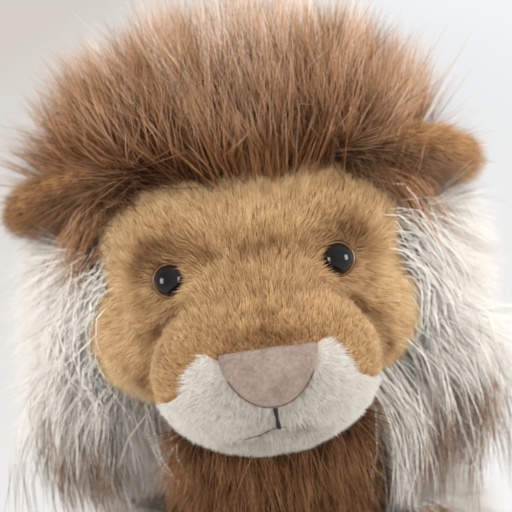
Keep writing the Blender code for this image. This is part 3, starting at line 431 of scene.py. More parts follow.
def scatter(skin, count, seed):
    """Evenly strewn points on a skin, and the way that it faces at each."""
    rng = np.random.default_rng(seed)
    mesh = skin.data
    mesh.calc_loop_triangles()
    corners = np.empty(len(mesh.loop_triangles) * 3, np.int32)
    mesh.loop_triangles.foreach_get("vertices", corners)
    corners = corners.reshape(-1, 3)
    points, normals = points_of(skin)[corners], normals_of(skin)[corners]
    area = np.linalg.norm(np.cross(points[:, 1] - points[:, 0], points[:, 2] - points[:, 0]), axis=1)
    pick = rng.choice(len(corners), count, p=area / area.sum())
    first, second = rng.random((2, count, 1))
    over = first + second > 1
    first, second = np.where(over, 1 - first, first), np.where(over, 1 - second, second)
    shares = np.stack([1 - first - second, first, second], axis=1)
    facing = (normals[pick] * shares).sum(1)
    return (points[pick] * shares).sum(1), facing / np.linalg.norm(facing, axis=1, keepdims=True)


def mottle(points, size, seed):
    """Soft noise from -1 to 1 at each point, with patches about size across."""
    shift = Vector((seed * 7.1, seed * 3.7, seed * 5.3))
    return np.array([noise.noise(Vector(point) / size + shift) for point in points])


def near_line(points, line, width):
    """1 on the line through some points, falling to 0 about width away from it."""
    line = np.array(line)
    nearest = np.full(len(points), 1e9)
    for start, end in zip(line, line[1:]):
        along = end - start
        share = np.clip((points - start) @ along / (along @ along), 0, 1)
        away = np.linalg.norm(points - start - share[:, None] * along, axis=1)
        nearest = np.minimum(nearest, away)
    return np.exp(-((nearest / width) ** 2))


def nap(points, normals, comb, length, lean, seed, clump=0.0012):
    """How far short hairs reach, leaning by lean degrees along comb, in small tufts."""
    rng = np.random.default_rng(seed)
    along = unit(comb - normals * (comb * normals).sum(1, keepdims=True))
    swirl = np.stack([mottle(points, 0.006, seed + k) for k in range(3)], axis=1)
    along = unit(along + 0.7 * swirl + rng.normal(scale=0.2, size=points.shape))
    tilt = np.radians(lean + rng.normal(scale=7, size=len(points)))[:, None]
    way = unit(normals * np.cos(tilt) + along * np.sin(tilt))
    long = (length * rng.uniform(0.72, 1.1, len(points)))[:, None]
    tufts = np.stack([mottle(points, 0.0022, seed + 11 + k) for k in range(3)], axis=1)
    return way * long + (along * long * 0.22 + tufts * clump)


def hair_finish(name, roots, tips, start=0.15, end=0.85, sheen=0.1):
    """Dyed hair. roots and tips are colours from the darkest hairs to the palest ones."""
    made, tree, shader = plain_finish(name, tips[-1], 0.72)
    shader.inputs["Sheen Weight"].default_value = sheen
    shader.inputs["Specular IOR Level"].default_value = 0.2
    places = add_step(tree, "ShaderNodeUVMap", {}, uv_map="OFBake")["UV"]
    apart = add_step(tree, "ShaderNodeSeparateXYZ", {"Vector": places})
    at_root, at_tip = (shades(tree, apart["X"], colours) for colours in (roots, tips))
    fade = add_step(tree, "ShaderNodeMapRange", {"Value": apart["Y"], "From Min": start, "From Max": end},
                    interpolation_type="SMOOTHSTEP")
    mix = add_step(tree, "ShaderNodeMix", {"Factor": fade["Result"], "A": at_root, "B": at_tip},
                   data_type="RGBA")
    tree.links.new(mix["Result"], shader.inputs["Base Color"])
    return made


golden_hair = hair_finish(
    "golden_hair",
    [(88, 56, 30), (158, 114, 70), (200, 160, 110)],
    [(134, 94, 58), (220, 182, 132), (246, 218, 174)],
)


def in_muzzle(points):
    """True for points that the muzzle covers."""
    inside = np.zeros(len(points), bool)
    for middle, radii in muzzle_balls:
        inside |= (((points - middle) / (radii - 0.0005)) ** 2).sum(1) < 1
    return inside


def face_shade(points):
    """Painted shade: how much darker the fur is drawn in the eyes' corners, over the nose, along the brow and
    down the muzzle's creases, where shade falls.
    """
    dark = 0.42 * near_line(points, [(-0.012, -0.087, 0.231), (0.012, -0.087, 0.231)], 0.0065)
    for side in (1, -1):
        x, y, z = side * 0.0288, -0.0489, 0.2456
        dark += 0.55 * near_line(points, [(x + side * 0.006, y + 0.004, z + 0.008),
                                          (x - side * 0.002, y, z + 0.009)], 0.0055)
        dark += 0.30 * near_line(points, [(x + side * 0.009, y + 0.006, z + 0.002),
                                          (x + side * 0.008, y + 0.004, z - 0.010)], 0.0050)
        crease = [(side * 0.028, -0.053, 0.236), (side * 0.0375, -0.047, 0.225),
                  (side * 0.0415, -0.045, 0.213), (side * 0.039, -0.046, 0.203)]
        dark += 0.30 * near_line(points, crease, 0.0045) + 0.40 * near_line(points, crease, 0.0015)
        brow = near_line(points, [(side * 0.018, -0.052, 0.252), (side * 0.001, -0.056, 0.255)], 0.006)
        dark += 0.34 * brow * (1 + mottle(points, 0.004, 9))
    return dark


def off_eyes(points, gap):
    """False for points that lie under an eye."""
    free = np.ones(len(points), bool)
    for seat in eye_seats.values():
        free &= np.linalg.norm(points - np.array(seat), axis=1) > gap
    return free


face_hairs, face_hair_length, face_hair_radius = 220000, 0.0049, 0.00012
roots, facing = scatter(head_skin, face_hairs, 1)
keep = (roots[:, 1] < -0.010) & (roots[:, 2] > 0.180) & ~in_muzzle(roots) & off_eyes(roots, 0.0055)
roots, facing = roots[keep], facing[keep]
high = np.clip((roots[:, 2] - 0.240) / 0.012, 0, 1)[:, None]
side_on = np.sign(roots[:, 0:1]) * np.clip(np.abs(roots[:, 0:1]) / 0.03, 0, 1)
comb = high * np.hstack([side_on * 0.45, 0 * side_on - 0.1, 1 + 0 * side_on])
comb += (1 - high) * np.hstack([side_on * 0.9, 0 * side_on + 0.35, 0.1 - 0.9 * np.abs(side_on)])
for seat in eye_seats.values():
    away = roots - np.array(seat)
    close = np.exp(-(np.linalg.norm(away, axis=1) / 0.010) ** 2)
    inner = np.clip(unit(away) @ np.array((-0.8 * np.sign(seat.x), 0, 0.6)), 0, 1)
    comb += ((1.2 - 3.4 * inner) * close)[:, None] * unit(away)
lit = 0.14 * np.clip((np.abs(roots[:, 0]) - 0.030) / 0.025, 0, 1) + 0.08 * (roots[:, 2] < 0.235)
tone = 0.52 + lit + 0.16 * mottle(roots, 0.010, 3) + 0.20 * mottle(roots, 0.0025, 4)
# The pile is painted darker by face_shade where shade falls in the face's corners and creases.
tone += np.random.default_rng(5).normal(scale=0.09, size=len(roots)) - face_shade(roots)
reach = nap(roots, facing, comb, face_hair_length, 42, 6, clump=0.0010)
brow_foot = 0.240
for part, level in (("brow", roots[:, 2] > brow_foot), ("cheek", roots[:, 2] <= brow_foot)):
    for word, beside in (("left", roots[:, 0] > 0), ("right", roots[:, 0] <= 0)):
        mine = level & beside
        pile = coat(f"{part}_pile_{word}", roots[mine], reach[mine], 0, face_hair_radius, tone[mine], 1,
                    seed=7, facing=facing[mine])
        dress(pile, golden_hair, "head", "head_cover")


# Muzzle: one stuffed bag of two panels, a golden one over the bridge and a white one round the lips.
# They are sewn together along a line with a point at each side of the nose.
lip_seam = ((0, 0.2165), (0.0195, 0.2265), (0.0258, 0.2212), (0.0285, 0.2135), (0.0345, 0.2085),
            (0.0420, 0.2030))  # from the middle outwards: how far aside, and how high
muzzle_depth = 0.036  # where the bag is cut off behind


def above_lip(points):
    """How far points lie above the seam between the two panels, in metres; less than 0 is white."""
    aside, high = np.array(lip_seam).T
    return points[:, 2] - np.interp(np.abs(points[:, 0]), aside, high)


muzzle = bmesh.new()
for middle, radii in muzzle_balls:
    add_ball(muzzle, middle, radii)
muzzle_bag = make_piece("muzzle_bag", muzzle)
remesh(muzzle_bag, voxel=0.0018, smoothing=8)
muzzle_tree = tree_of(muzzle_bag)


def front_of(tree, x, z):
    """Where a surface's front lies at x and z."""
    return tree.ray_cast(Vector((x, -0.2, z)), Vector((0, 1, 0)))[0]


def muzzle_panel(name, golden):
    """One panel of the muzzle, cut from its shape along the seam."""
    bm = bmesh.new()
    bm.from_mesh(muzzle_bag.data)
    bmesh.ops.bisect_plane(bm, geom=bm.verts[:] + bm.edges[:] + bm.faces[:], dist=1e-6,
                           plane_co=(0, -muzzle_depth, 0), plane_no=(0, 1, 0), clear_outer=True)
    for side in (1, -1):
        for (near, low), (far, high) in zip(lip_seam, lip_seam[1:]):
            across = (side * (high - low), 0, near - far)
            bmesh.ops.bisect_plane(bm, geom=bm.verts[:] + bm.edges[:] + bm.faces[:], dist=1e-6,
                                   plane_co=(side * near, 0, low), plane_no=across)
    middles = np.array([face.calc_center_median() for face in bm.faces])
    wrong = (above_lip(middles) > 0) != golden
    bmesh.ops.delete(bm, geom=[face for face, out in zip(list(bm.faces), wrong) if out], context="FACES")
    return make_piece(name, bm)


cream_knit = knit_finish("cream_knit", (214, 205, 192), (192, 180, 164), 900)
bridge_skin = muzzle_panel("bridge_skin", golden=True)
lip_skin = muzzle_panel("lip_skin", golden=False)
dress(bridge_skin, golden_knit, "head", "bridge_cover")
dress(lip_skin, cream_knit, "head", "lip_cover")
bpy.data.objects.remove(muzzle_bag)

nose_aside, nose_top, nose_foot, nose_half = 0.0012, 0.2264, 0.2087, 0.0166
sides_power, corner_power = 1.6, 0.5  # shape the nose's outline


def in_nose(points, gap):
    """True for points under the nose patch, or up to gap outside it."""
    down = (nose_top + gap - points[:, 2]) / (nose_top - nose_foot + 2 * gap)
    across = (nose_half + gap) * np.maximum(1 - np.clip(down, 0, 1) ** sides_power, 0) ** corner_power
    return (points[:, 1] < -0.06) & (down > 0) & (down < 1) & (np.abs(points[:, 0] - nose_aside) < across)


rng = np.random.default_rng(20)
bridge_hairs, bridge_hair_length, length_lost_at_nose = 31000, 0.0044, 0.0018
roots, facing = scatter(bridge_skin, bridge_hairs, 21)
keep = ~in_nose(roots, -0.0009) & (roots[:, 1] < -0.044)
roots, facing = roots[keep], facing[keep]
comb = np.hstack([roots[:, :1] * 14, 0.9 + 0 * roots[:, :1], 0.9 + 0 * roots[:, :1]])
near_nose = np.clip(1 - (roots[:, 2] - nose_top) / 0.014, 0, 1)
tone = 0.40 + 0.14 * mottle(roots, 0.008, 22) + 0.18 * mottle(roots, 0.0022, 23)
# Painted shade: the bridge pile is a little darker near the nose top, and much darker in mottled patches where
# the pile parts above the nose.
tone += rng.normal(scale=0.10, size=len(roots)) - face_shade(roots) - 0.02 * near_nose
parting_shade = np.clip(mottle(roots, 0.0045, 31) - 0.05, 0, 1) * np.clip(1 - np.abs(roots[:, 0]) / 0.018, 0, 1)
tone -= 1.1 * parting_shade * np.clip(1 - (roots[:, 2] - 0.226) / 0.018, 0, 1)
length = bridge_hair_length - length_lost_at_nose * near_nose
reach = nap(roots, facing, comb, length, 42, 24, clump=0.0009)
bridge_pile = coat("bridge_pile", roots, reach, 0, face_hair_radius, tone, 1, seed=25, facing=facing)
dress(bridge_pile, golden_hair, "head", "bridge_cover")

cream_hair = hair_finish(
    "cream_hair",
    [(150, 134, 116), (204, 196, 184), (220, 214, 204)],
    [(180, 168, 154), (222, 218, 210), (238, 236, 230)],
)
lip_hairs, lip_hair_length, lip_hair_radius = 37000, 0.0030, 0.00011
roots, facing = scatter(lip_skin, lip_hairs, 26)
mouth_line = ((-0.0150, -0.0100, -0.0050, -0.0010, 0.0014, 0.0050, 0.0125),
              (0.1966, 0.1970, 0.1984, 0.2004, 0.2012, 0.2002, 0.1990))
mouth_row = [front_of(muzzle_tree, x, z) for x, z in zip(*mouth_line)]
keep = ~in_nose(roots, -0.0008) & (roots[:, 1] < -0.044)
roots, facing = roots[keep], facing[keep]
from_nose = roots - np.array((0, -0.088, 0.219))
clear = np.clip(np.linalg.norm(from_nose * [1, 0, 1.4], axis=1) / 0.012 - 1.2, 0, 1)[:, None]
comb = 0.5 * clear * unit(from_nose) + [0, 0.2, -0.25]
shaded_chin = (roots[:, 2] < np.interp(roots[:, 0], *mouth_line)) & (np.abs(roots[:, 0]) < 0.019)
tone = 0.55 + 0.15 * mottle(roots, 0.007, 27) + 0.2 * mottle(roots, 0.0018, 28)
tone += rng.normal(scale=0.12, size=len(roots))
# Painted shade: the pile is darker along the mouth's crease and on the chin below the mouth, where shade
# falls.
tone -= 0.45 * near_line(roots, mouth_row, 0.0014) + 0.26 * shaded_chin
reach = nap(roots, facing, comb, lip_hair_length, 34, 29, clump=0.0008)
lip_pile = coat("lip_pile", roots, reach, 0, lip_hair_radius, tone, 1, seed=30, facing=facing)
dress(lip_pile, cream_hair, "head", "lip_cover")


# Nose: a patch of short pinkish velour, wide at the top and round below, turned under at its edge
# and sewn on over a little filling.
def on_nose(x, y, proud):
    """The nose's outline squeezed from a disc: where the disc's x and y go, that far out of the muzzle."""
    high = nose_foot + (nose_top - nose_foot) * (0.5 + y / 2)
    share = (nose_top - high) / (nose_top - nose_foot)
    half = nose_half * max(1 - share**sides_power, 0) ** corner_power
    across = x / math.sqrt(max(1 - y * y, 1e-6)) * half
    high += 0.0014 * (1 - (across / nose_half) ** 2) * max(1 - share * 2, 0)
    return front_of(muzzle_tree, across + nose_aside, high) - Vector((0, proud, 0))


nose_proud, nose_crown, nose_turned_in = 0.0012, 0.0036, 0.0045
nose = bmesh.new()
bmesh.ops.create_grid(nose, x_segments=44, y_segments=44, size=1)
for vert in nose.verts:
    x, y = vert.co.x, vert.co.y
    x, y = x * math.sqrt(1 - y * y / 2), y * math.sqrt(1 - x * x / 2)
    around = min(math.hypot(x, y), 1)
    vert.co = on_nose(x, y, nose_proud + nose_crown * (1 - around**5))
bmesh.ops.recalc_face_normals(nose, faces=nose.faces)
if sum(face.normal.y for face in nose.faces) > 0:
    bmesh.ops.reverse_faces(nose, faces=nose.faces)
rim = bmesh.ops.extrude_edge_only(nose, edges=[edge for edge in nose.edges if edge.is_boundary])
turned = [item for item in rim["geom"] if isinstance(item, bmesh.types.BMVert)]
bmesh.ops.translate(nose, verts=turned, vec=(0, nose_turned_in, 0))
nose_patch = make_piece("nose_patch", nose)
round_over = nose_patch.modifiers.new("round_over", "SUBSURF")
round_over.levels = round_over.render_levels = 1
settle(nose_patch)
velour, tree, shader = plain_finish("nose_velour", (140, 124, 112), 0.95)
shader.inputs["Sheen Weight"].default_value = 0.1
fine = cloudy(tree, 900, detail=5)
total = add_step(tree, "ShaderNodeMath", {0: fine, 1: cloudy(tree, 160, detail=3)}, operation="ADD")
halved = add_step(tree, "ShaderNodeMath", {0: total[0], 1: 0.5}, operation="MULTIPLY")
colour_by(tree, shader, halved[0], ((122, 105, 94), (153, 137, 125)), 0.38, 0.62)
raise_by(tree, shader, fine, 0.5, 0.0004)
dress(nose_patch, velour, "head", "nose")


# Stitching of nose and mouth: one upright stitch of two-ply navy thread under the nose, and a thin
# brown thread pulled into the pile for the mouth, which stands in for the shade in the mouth's crease.
# A brown thread round the nose's sides and foot stands in for the shade where the patch is sewn on.
def thread(name, path, radius, plies, twist):
    """A twisted thread along a path of points: plies strands wound round each other."""
    path = np.array(path)
    far = np.concatenate([[0], np.cumsum(np.linalg.norm(np.diff(path, axis=0), axis=1))])
    count = max(int(far[-1] / radius * 1.6), 8)
    s = np.linspace(0, far[-1], count)
    line = np.stack([np.interp(s, far, path[:, axis]) for axis in range(3)], axis=1)
    curve = bpy.data.curves.new(name, "CURVE")
    curve.dimensions = "3D"
    curve.bevel_depth = radius * (0.62 if plies > 1 else 1)
    curve.bevel_resolution = 2
    curve.use_fill_caps = True
    along = unit(np.gradient(line, axis=0))
    across = unit(np.cross(along, [0.13, 1, 0.21]))
    up = np.cross(along, across)
    for ply in range(plies):
        turn = (s / radius * twist + ply * 2 * math.pi / plies)[:, None]
        aside = radius * (0.42 if plies > 1 else 0) * (across * np.cos(turn) + up * np.sin(turn))
        spline = curve.splines.new("POLY")
        spline.points.add(count - 1)
        spline.points.foreach_set("co", np.hstack([line + aside, np.ones((count, 1))]).ravel())
    lofted = bpy.data.objects.new(name + "_path", curve)
    scene.collection.objects.link(lofted)
    bpy.context.view_layer.update()
    mesh = bpy.data.meshes.new_from_object(lofted.evaluated_get(bpy.context.evaluated_depsgraph_get()))
    bpy.data.objects.remove(lofted)
    bpy.data.curves.remove(curve)
    mesh.name = name
    mesh.shade_smooth()
    made = bpy.data.objects.new(name, mesh)
    scene.collection.objects.link(made)
    mesh.materials.clear()
    return made


def thread_finish(name, light, dark):
    made, tree, shader = plain_finish(name, light, 0.75)
    colour_by(tree, shader, cloudy(tree, 2500), (dark, light), 0.4, 0.6)
    return made


lip_tree = tree_of(lip_skin)


def on_lip(x, z, proud):
    """The point of the lip's front at x and z, moved out by proud."""
    return front_of(lip_tree, x, z) - Vector((0, proud, 0))


navy = thread_finish("navy_thread", (13, 13, 26), (4, 4, 9))
brown = thread_finish("brown_thread", (112, 78, 58), (66, 42, 30))
nose_shade_brown = thread_finish("nose_shade_thread", (140, 108, 92), (96, 68, 56))
stitch_top, stitch_length, stitch_lean = 0.2089, 0.0076, 0.0004
stitch_proud, stitch_bow = 0.0034, 0.0008
stitch_path = [on_lip(nose_aside + stitch_lean * t, stitch_top - stitch_length * t,
                      stitch_proud + stitch_bow * math.sin(3.1 * t)) for t in np.linspace(0, 1, 7)]
stitch = thread("nose_thread", stitch_path, radius=0.00080, plies=2, twist=0.32)
dress(stitch, navy, "head", "nose_stitch")
# Painted shade: a thin brown thread along the mouth stands in for the shade in the mouth's crease.
mouth_aside = np.linspace(-0.0125, 0.0040, 22)
mouth_path = [on_lip(x, z, 0.0020) for x, z in zip(mouth_aside, np.interp(mouth_aside, *mouth_line))]
mouth = thread("mouth_shade_thread", mouth_path, radius=0.00028, plies=2, twist=0.3)
dress(mouth, brown, "head", "mouth_line")
# Painted shade: a thin brown thread round the nose's sides and foot stands in for the shade in the crease
# where the patch is sewn on.
round_nose = np.linspace(0.97 * math.pi, 2.03 * math.pi, 110)  # its sides and foot
seam_path = [on_nose(0.9995 * math.cos(turn), 0.9995 * math.sin(turn), 0.0016) for turn in round_nose]
nose_seam_shade = thread("nose_seam_shade", seam_path, radius=0.00030, plies=2, twist=0.3)
dress(nose_seam_shade, nose_shade_brown, "head", "nose")


# Safety eyes: a glossy black plastic dome with an amber ring painted round it and a dark rim. The
# washer pressed on its post inside the head is pale plastic.
def plastic_finish(name, colour, roughness, cloud, grain, coat=0.0, coat_roughness=0.03):
    """Moulded plastic, a little cloudy, under a thin coat."""
    made, tree, shader = plain_finish(name, colour, roughness)
    shader.inputs["Coat Weight"].default_value = coat
    shader.inputs["Coat Roughness"].default_value = coat_roughness
    colour_by(tree, shader, cloudy(tree, grain), cloud)
    return made, shader


eye_black, shader = plastic_finish("eye_black", (9, 8, 9), 0.12, ((6, 5, 6), (15, 12, 12)), 300, 0.25, 0.06)
shader.inputs["Specular IOR Level"].default_value = 0.2
eye_amber = plastic_finish("eye_amber", (96, 62, 26), 0.3, ((66, 38, 14), (128, 86, 40)), 1200, 0.3, 0.05)[0]
pale = ((210, 208, 202), (232, 230, 226))
washer_white = plastic_finish("washer_white", (226, 224, 218), 0.45, pale, 700)[0]
dome_profile = [(0.0060, -0.0020), (0.0065, -0.0006), (0.0064, 0.0004), (0.0061, 0.0009), (0.0060, 0.0009),
                (0.0056, 0.0013), (0.0055, 0.0015), (0.0050, 0.0028), (0.0041, 0.0040),
                (0.0029, 0.0048), (0.0015, 0.0053), (0.0, 0.0054)]  # radius and height, rim to top
ring_inside, ring_outside, ring_foot = 0.00552, 0.0061, 0.0006
for word, side in both_sides:
    seat = eye_seats[word]
    facing_out = Vector((side * 0.12, -1, 0.20)).normalized()
    eye = bmesh.new()
    ring = [eye.verts.new((radius, 0, height)) for radius, height in dome_profile]
    for first, second in zip(ring, ring[1:]):
        eye.edges.new((first, second))
    bmesh.ops.spin(eye, geom=eye.verts[:] + eye.edges[:], cent=(0, 0, 0), axis=(0, 0, 1), use_merge=True,
                   dvec=(0, 0, 0), angle=2 * math.pi, steps=48, use_duplicate=False)
    bmesh.ops.remove_doubles(eye, verts=eye.verts, dist=1e-6)
    bmesh.ops.holes_fill(eye, edges=[edge for edge in eye.edges if edge.is_boundary], sides=0)
    bmesh.ops.recalc_face_normals(eye, faces=eye.faces)
    for face in eye.faces:
        middle = face.calc_center_median()
        out_to = math.hypot(middle.x, middle.y)
        in_ring = ring_inside < out_to < ring_outside and middle.z > ring_foot
        face.material_index = 1 if in_ring else 0
    bmesh.ops.transform(eye, verts=eye.verts, matrix=Matrix.Translation(seat)
                        @ facing_out.to_track_quat("Z", "Y").to_matrix().to_4x4())
    dome = make_piece(f"eye_dome_{word}", eye)
    dress(dome, eye_black, "head", f"eye_{word}")
    dome.data.materials.append(eye_amber)
    for slot in nodes[f"eye_washer_{word}"].material_slots:
        slot.material = washer_white


# Ears: two leaves of cloth sewn together and turned, golden-brown pile behind and longer dark brown
# pile inside. They droop sideways out of the mane.
def node_shape(node):
    """A CAD node's shape as a bmesh, with its loose triangles joined."""
    bm = bmesh.new()
    bm.from_mesh(nodes[node].data)
    bmesh.ops.remove_doubles(bm, verts=bm.verts, dist=1e-6)
    return bm


ear_hair = hair_finish(
    "ear_hair",
    [(84, 50, 26), (146, 98, 58), (190, 144, 96)],
    [(120, 78, 46), (200, 154, 108), (232, 194, 150)],
)
lining_hair = hair_finish(
    "lining_hair",
    [(60, 36, 20), (96, 62, 38), (122, 84, 54)],
    [(112, 76, 52), (166, 126, 94), (200, 160, 126)],
)
dark_knit = knit_finish("dark_knit", (92, 62, 40), (58, 38, 24), 900)
right_ear_darker, ear_hair_radius = 0.34, 0.00015
for word, side in both_sides:
    for kind, node, slot, cloth, hair, long, count in (
        ("back", f"ear_{word}", "golden_pile", golden_knit, ear_hair, 0.0056, 7500),
        ("lining", f"ear_lining_{word}", "dark_lining", dark_knit, lining_hair, 0.0064, 5000),
    ):
        skin = make_piece(f"ear_{kind}_skin_{word}", node_shape(node))
        remesh(skin, voxel=0.0012, smoothing=6)
        roots, facing = scatter(skin, count, 40 + side)
        if kind == "lining":
            into = points_of(skin).mean(0) - np.array(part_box(f"ear_{word}")).mean(0)
            keep = facing @ into > 0
            roots, facing = roots[keep], facing[keep]
        comb = np.tile([side * 1.0, 0.0, -0.55], (len(roots), 1))
        rng = np.random.default_rng(41 + side)
        tone = 0.62 + 0.2 * mottle(roots, 0.006, 42) + rng.normal(scale=0.12, size=len(roots))
        tone -= right_ear_darker * (side < 0)
        reach = nap(roots, facing, comb, long, 50, 43)
        pile = coat(f"ear_{kind}_pile_{word}", roots, reach, 0, ear_hair_radius, tone, 1, seed=44,
                    facing=facing)
        dress(skin, cloth, f"ear_{word}", node)
        dress(pile, hair, f"ear_{word}", node)


# Crown of the mane: long brown hair in tufts, sewn in rows over the top of the head. It stands up
# and fans out, dark at its roots and fair at its ends, over shorter and thicker underfur.
def strew_on(node, count, seed):
    """Points spread over a CAD node's outside, and the ways that it faces there."""
    shell = make_piece("strewn", node_shape(node))
    shell.data.shade_flat()
    points, facing = scatter(shell, count, seed)
    bpy.data.objects.remove(shell)
    return points, facing


def roots_under(tips, goals, tree):
    """Where lines from the tips to their goals meet the skin, and which of them do."""
    found, kept = [], []
    for tip, goal in zip(tips, goals):
        way = Vector(goal) - Vector(tip)
        hit = tree.ray_cast(Vector(tip), way.normalized(), way.length)[0]
        kept.append(hit is not None)
        found.append(hit if hit is not None else Vector(goal))
    return np.array(found), np.array(kept)


hairs_within = ([-0.109, -0.2, 0.001], [0.109, 0.2, 0.356])


def lock_hairs(roots, tips, start, per, root_spread, tip_spread, seed, shortest=0.6, stray=0.06):
    """Splits each tuft into per hairs that draw together at its end. Returns root, reach and bend."""
    rng = np.random.default_rng(seed)
    count = len(roots) * per
    roots, tips, start = (np.repeat(rows, per, axis=0) for rows in (roots, tips, start))
    long = np.linalg.norm(tips - roots, axis=1, keepdims=True)
    share = 1 - (1 - shortest) * rng.random((count, 1)) ** 1.6
    loose = np.where(rng.random((count, 1)) < stray, 5.0, 1.0)
    begin = roots + rng.normal(scale=root_spread, size=(count, 3))
    end = np.clip(tips + rng.normal(scale=tip_spread, size=(count, 3)) * loose, *hairs_within)
    whole = end - begin
    reach = start * long
    bend = whole - reach
    return begin, reach * share, bend * share**2


def lock_tone(count, per, seed, base=0.5, spread=0.16, single=0.12):
    """How pale each hair is: its tuft's own tone, and a little of its own."""
    rng = np.random.default_rng(seed)
    tufts = np.repeat(rng.normal(scale=spread, size=count), per)
    return base + tufts + rng.normal(scale=single, size=count * per)


most_faces = 190000  # in one piece of hair


def long_hair(name, locks, radius, tone, rings, body, node, finish, seed, middle, wave=0.04):
    """One or more pieces of long hair, each small enough to keep all its faces."""
    begin, reach, bend = locks
    pieces = math.ceil(len(begin) * (6 * rings - 2) / most_faces)
    for part, mine in enumerate(np.array_split(np.arange(len(begin)), pieces)):
        outward = unit(begin[mine] + reach[mine] * 0.6 - middle)
        hair = coat(f"{name}_{'abcd'[part]}" if pieces > 1 else name, begin[mine], reach[mine], bend[mine],
                    radius, tone[mine], rings, wave=wave, seed=seed + part, facing=outward * 0.8)
        dress(hair, finish, body, node)


def underfur(node, body, cloth, hair, share, tree, comb, count, long, base):
    """The short thick fur under a mane's long hairs, from share of the way between skin and ends."""
    mass = make_piece(node.replace("mane", "underfur"), node_shape(node))
    remesh(mass, voxel=0.003, smoothing=10)
    at = points_of(mass)
    under = np.array([tree.find_nearest(Vector(point))[0] for point in at])
    lumps = 0.12 * mottle(at, 0.008, 45)[:, None]
    move_points(mass, under + (at - under) * (share + lumps))
    roots, facing = scatter(mass, count, 46)
    under = np.array([tree.find_nearest(Vector(point))[0] for point in roots])
    off = np.linalg.norm(roots - under, axis=1) > 0.003
    roots, facing, under = roots[off], facing[off], under[off]
    single = np.random.default_rng(48).normal(scale=0.12, size=len(roots))
    tone = base + 0.2 * mottle(roots, 0.007, 47) + single
    reach = nap(roots, facing, unit(roots - under) * 0.6 + comb, long, 58, 49, clump=0.003)
    tufts = coat(node.replace("mane", "short_hair"), roots, reach, 0, 0.00024, tone, 1, seed=54, facing=facing)
    dress(mass, cloth, body, node)
    dress(tufts, hair, body, node)


brown_hair = hair_finish(
    "brown_hair",
    [(64, 37, 20), (124, 80, 47), (160, 112, 72)],
    [(130, 84, 46), (216, 168, 126), (254, 242, 230)],
    start=0.25, end=1.0, sheen=0.0,
)
brown_underfur = knit_finish("brown_underfur", (112, 72, 42), (62, 36, 18), 500)
head_tree = tree_of(head_skin)
underfur("crown_mane", "head", brown_underfur, brown_hair, tree=head_tree, comb=[-0.1, 0, 0.6],
         share=0.52, count=15000, long=0.028, base=0.44)
crown = node_shape("crown_mane")
crown_tree = BVHTree.FromBMesh(crown)
crown.free()
middle = np.array((0, 0.000, 0.240))  # the hairs fan out from here
tufts, locks, crown_top = 800, 56, 0.354
rng = np.random.default_rng(50)
angle = np.radians(rng.uniform(26, 154, tufts))
deep = rng.uniform(-0.024, 0.019, tufts)
roots, tips = [], []
for turn, y in zip(angle, deep):
    swept = turn + math.radians(4 + 9 * abs(math.cos(turn)))
    inner = Vector((0, y, middle[2]))
    way = Vector((math.cos(turn), 0, math.sin(turn)))
    root = head_tree.ray_cast(inner + way * 0.12, -way, 0.12)[0]
    aim = Vector((math.cos(swept), 0, math.sin(swept)))
    start_at = Vector((0, min(max(y * 0.6, -0.018), 0.015), middle[2]))
    tip = crown_tree.ray_cast(start_at + aim * 0.2, -aim, 0.16)[0]
    if root is None or tip is None:
        continue
    roots.append(root)
    tips.append(tip)
roots, tips = np.array(roots), np.array(tips)
short = rng.random((len(tips), 1)) < 0.3
long = np.where(short, rng.uniform(0.45, 0.8, (len(tips), 1)), rng.uniform(0.80, 1.16, (len(tips), 1)))
tips = roots + (tips - roots) * long
tips += rng.normal(scale=0.005, size=tips.shape)
nearest = np.argmin(np.linalg.norm(tips[:, None] - tips[None, :locks], axis=2), axis=1)
tips += 0.42 * (tips[:locks][nearest] - tips)
tips[:, 2] = np.minimum(tips[:, 2], crown_top)
start = unit(tips - roots) * 0.95 + rng.normal(scale=0.16, size=tips.shape) + [0, -0.08, 0.08]
per = 14
tone = lock_tone(len(tips), per, 52, base=0.54)
darker_low, paler_high = 0.6, 0.46
tone -= darker_low * np.repeat(np.clip((0.320 - tips[:, 2]) / 0.02, 0, 1) * (tips[:, 0] < 0), per)
tone += paler_high * np.repeat(np.clip((tips[:, 2] - 0.322) / 0.02, 0, 1), per)
long_hair("crown_hair", lock_hairs(roots, tips, start, per, 0.0040, 0.0024, 51, stray=0.08), 0.00017,
          tone, 3, "head", "crown_mane", brown_hair, 53, middle, wave=0.02)
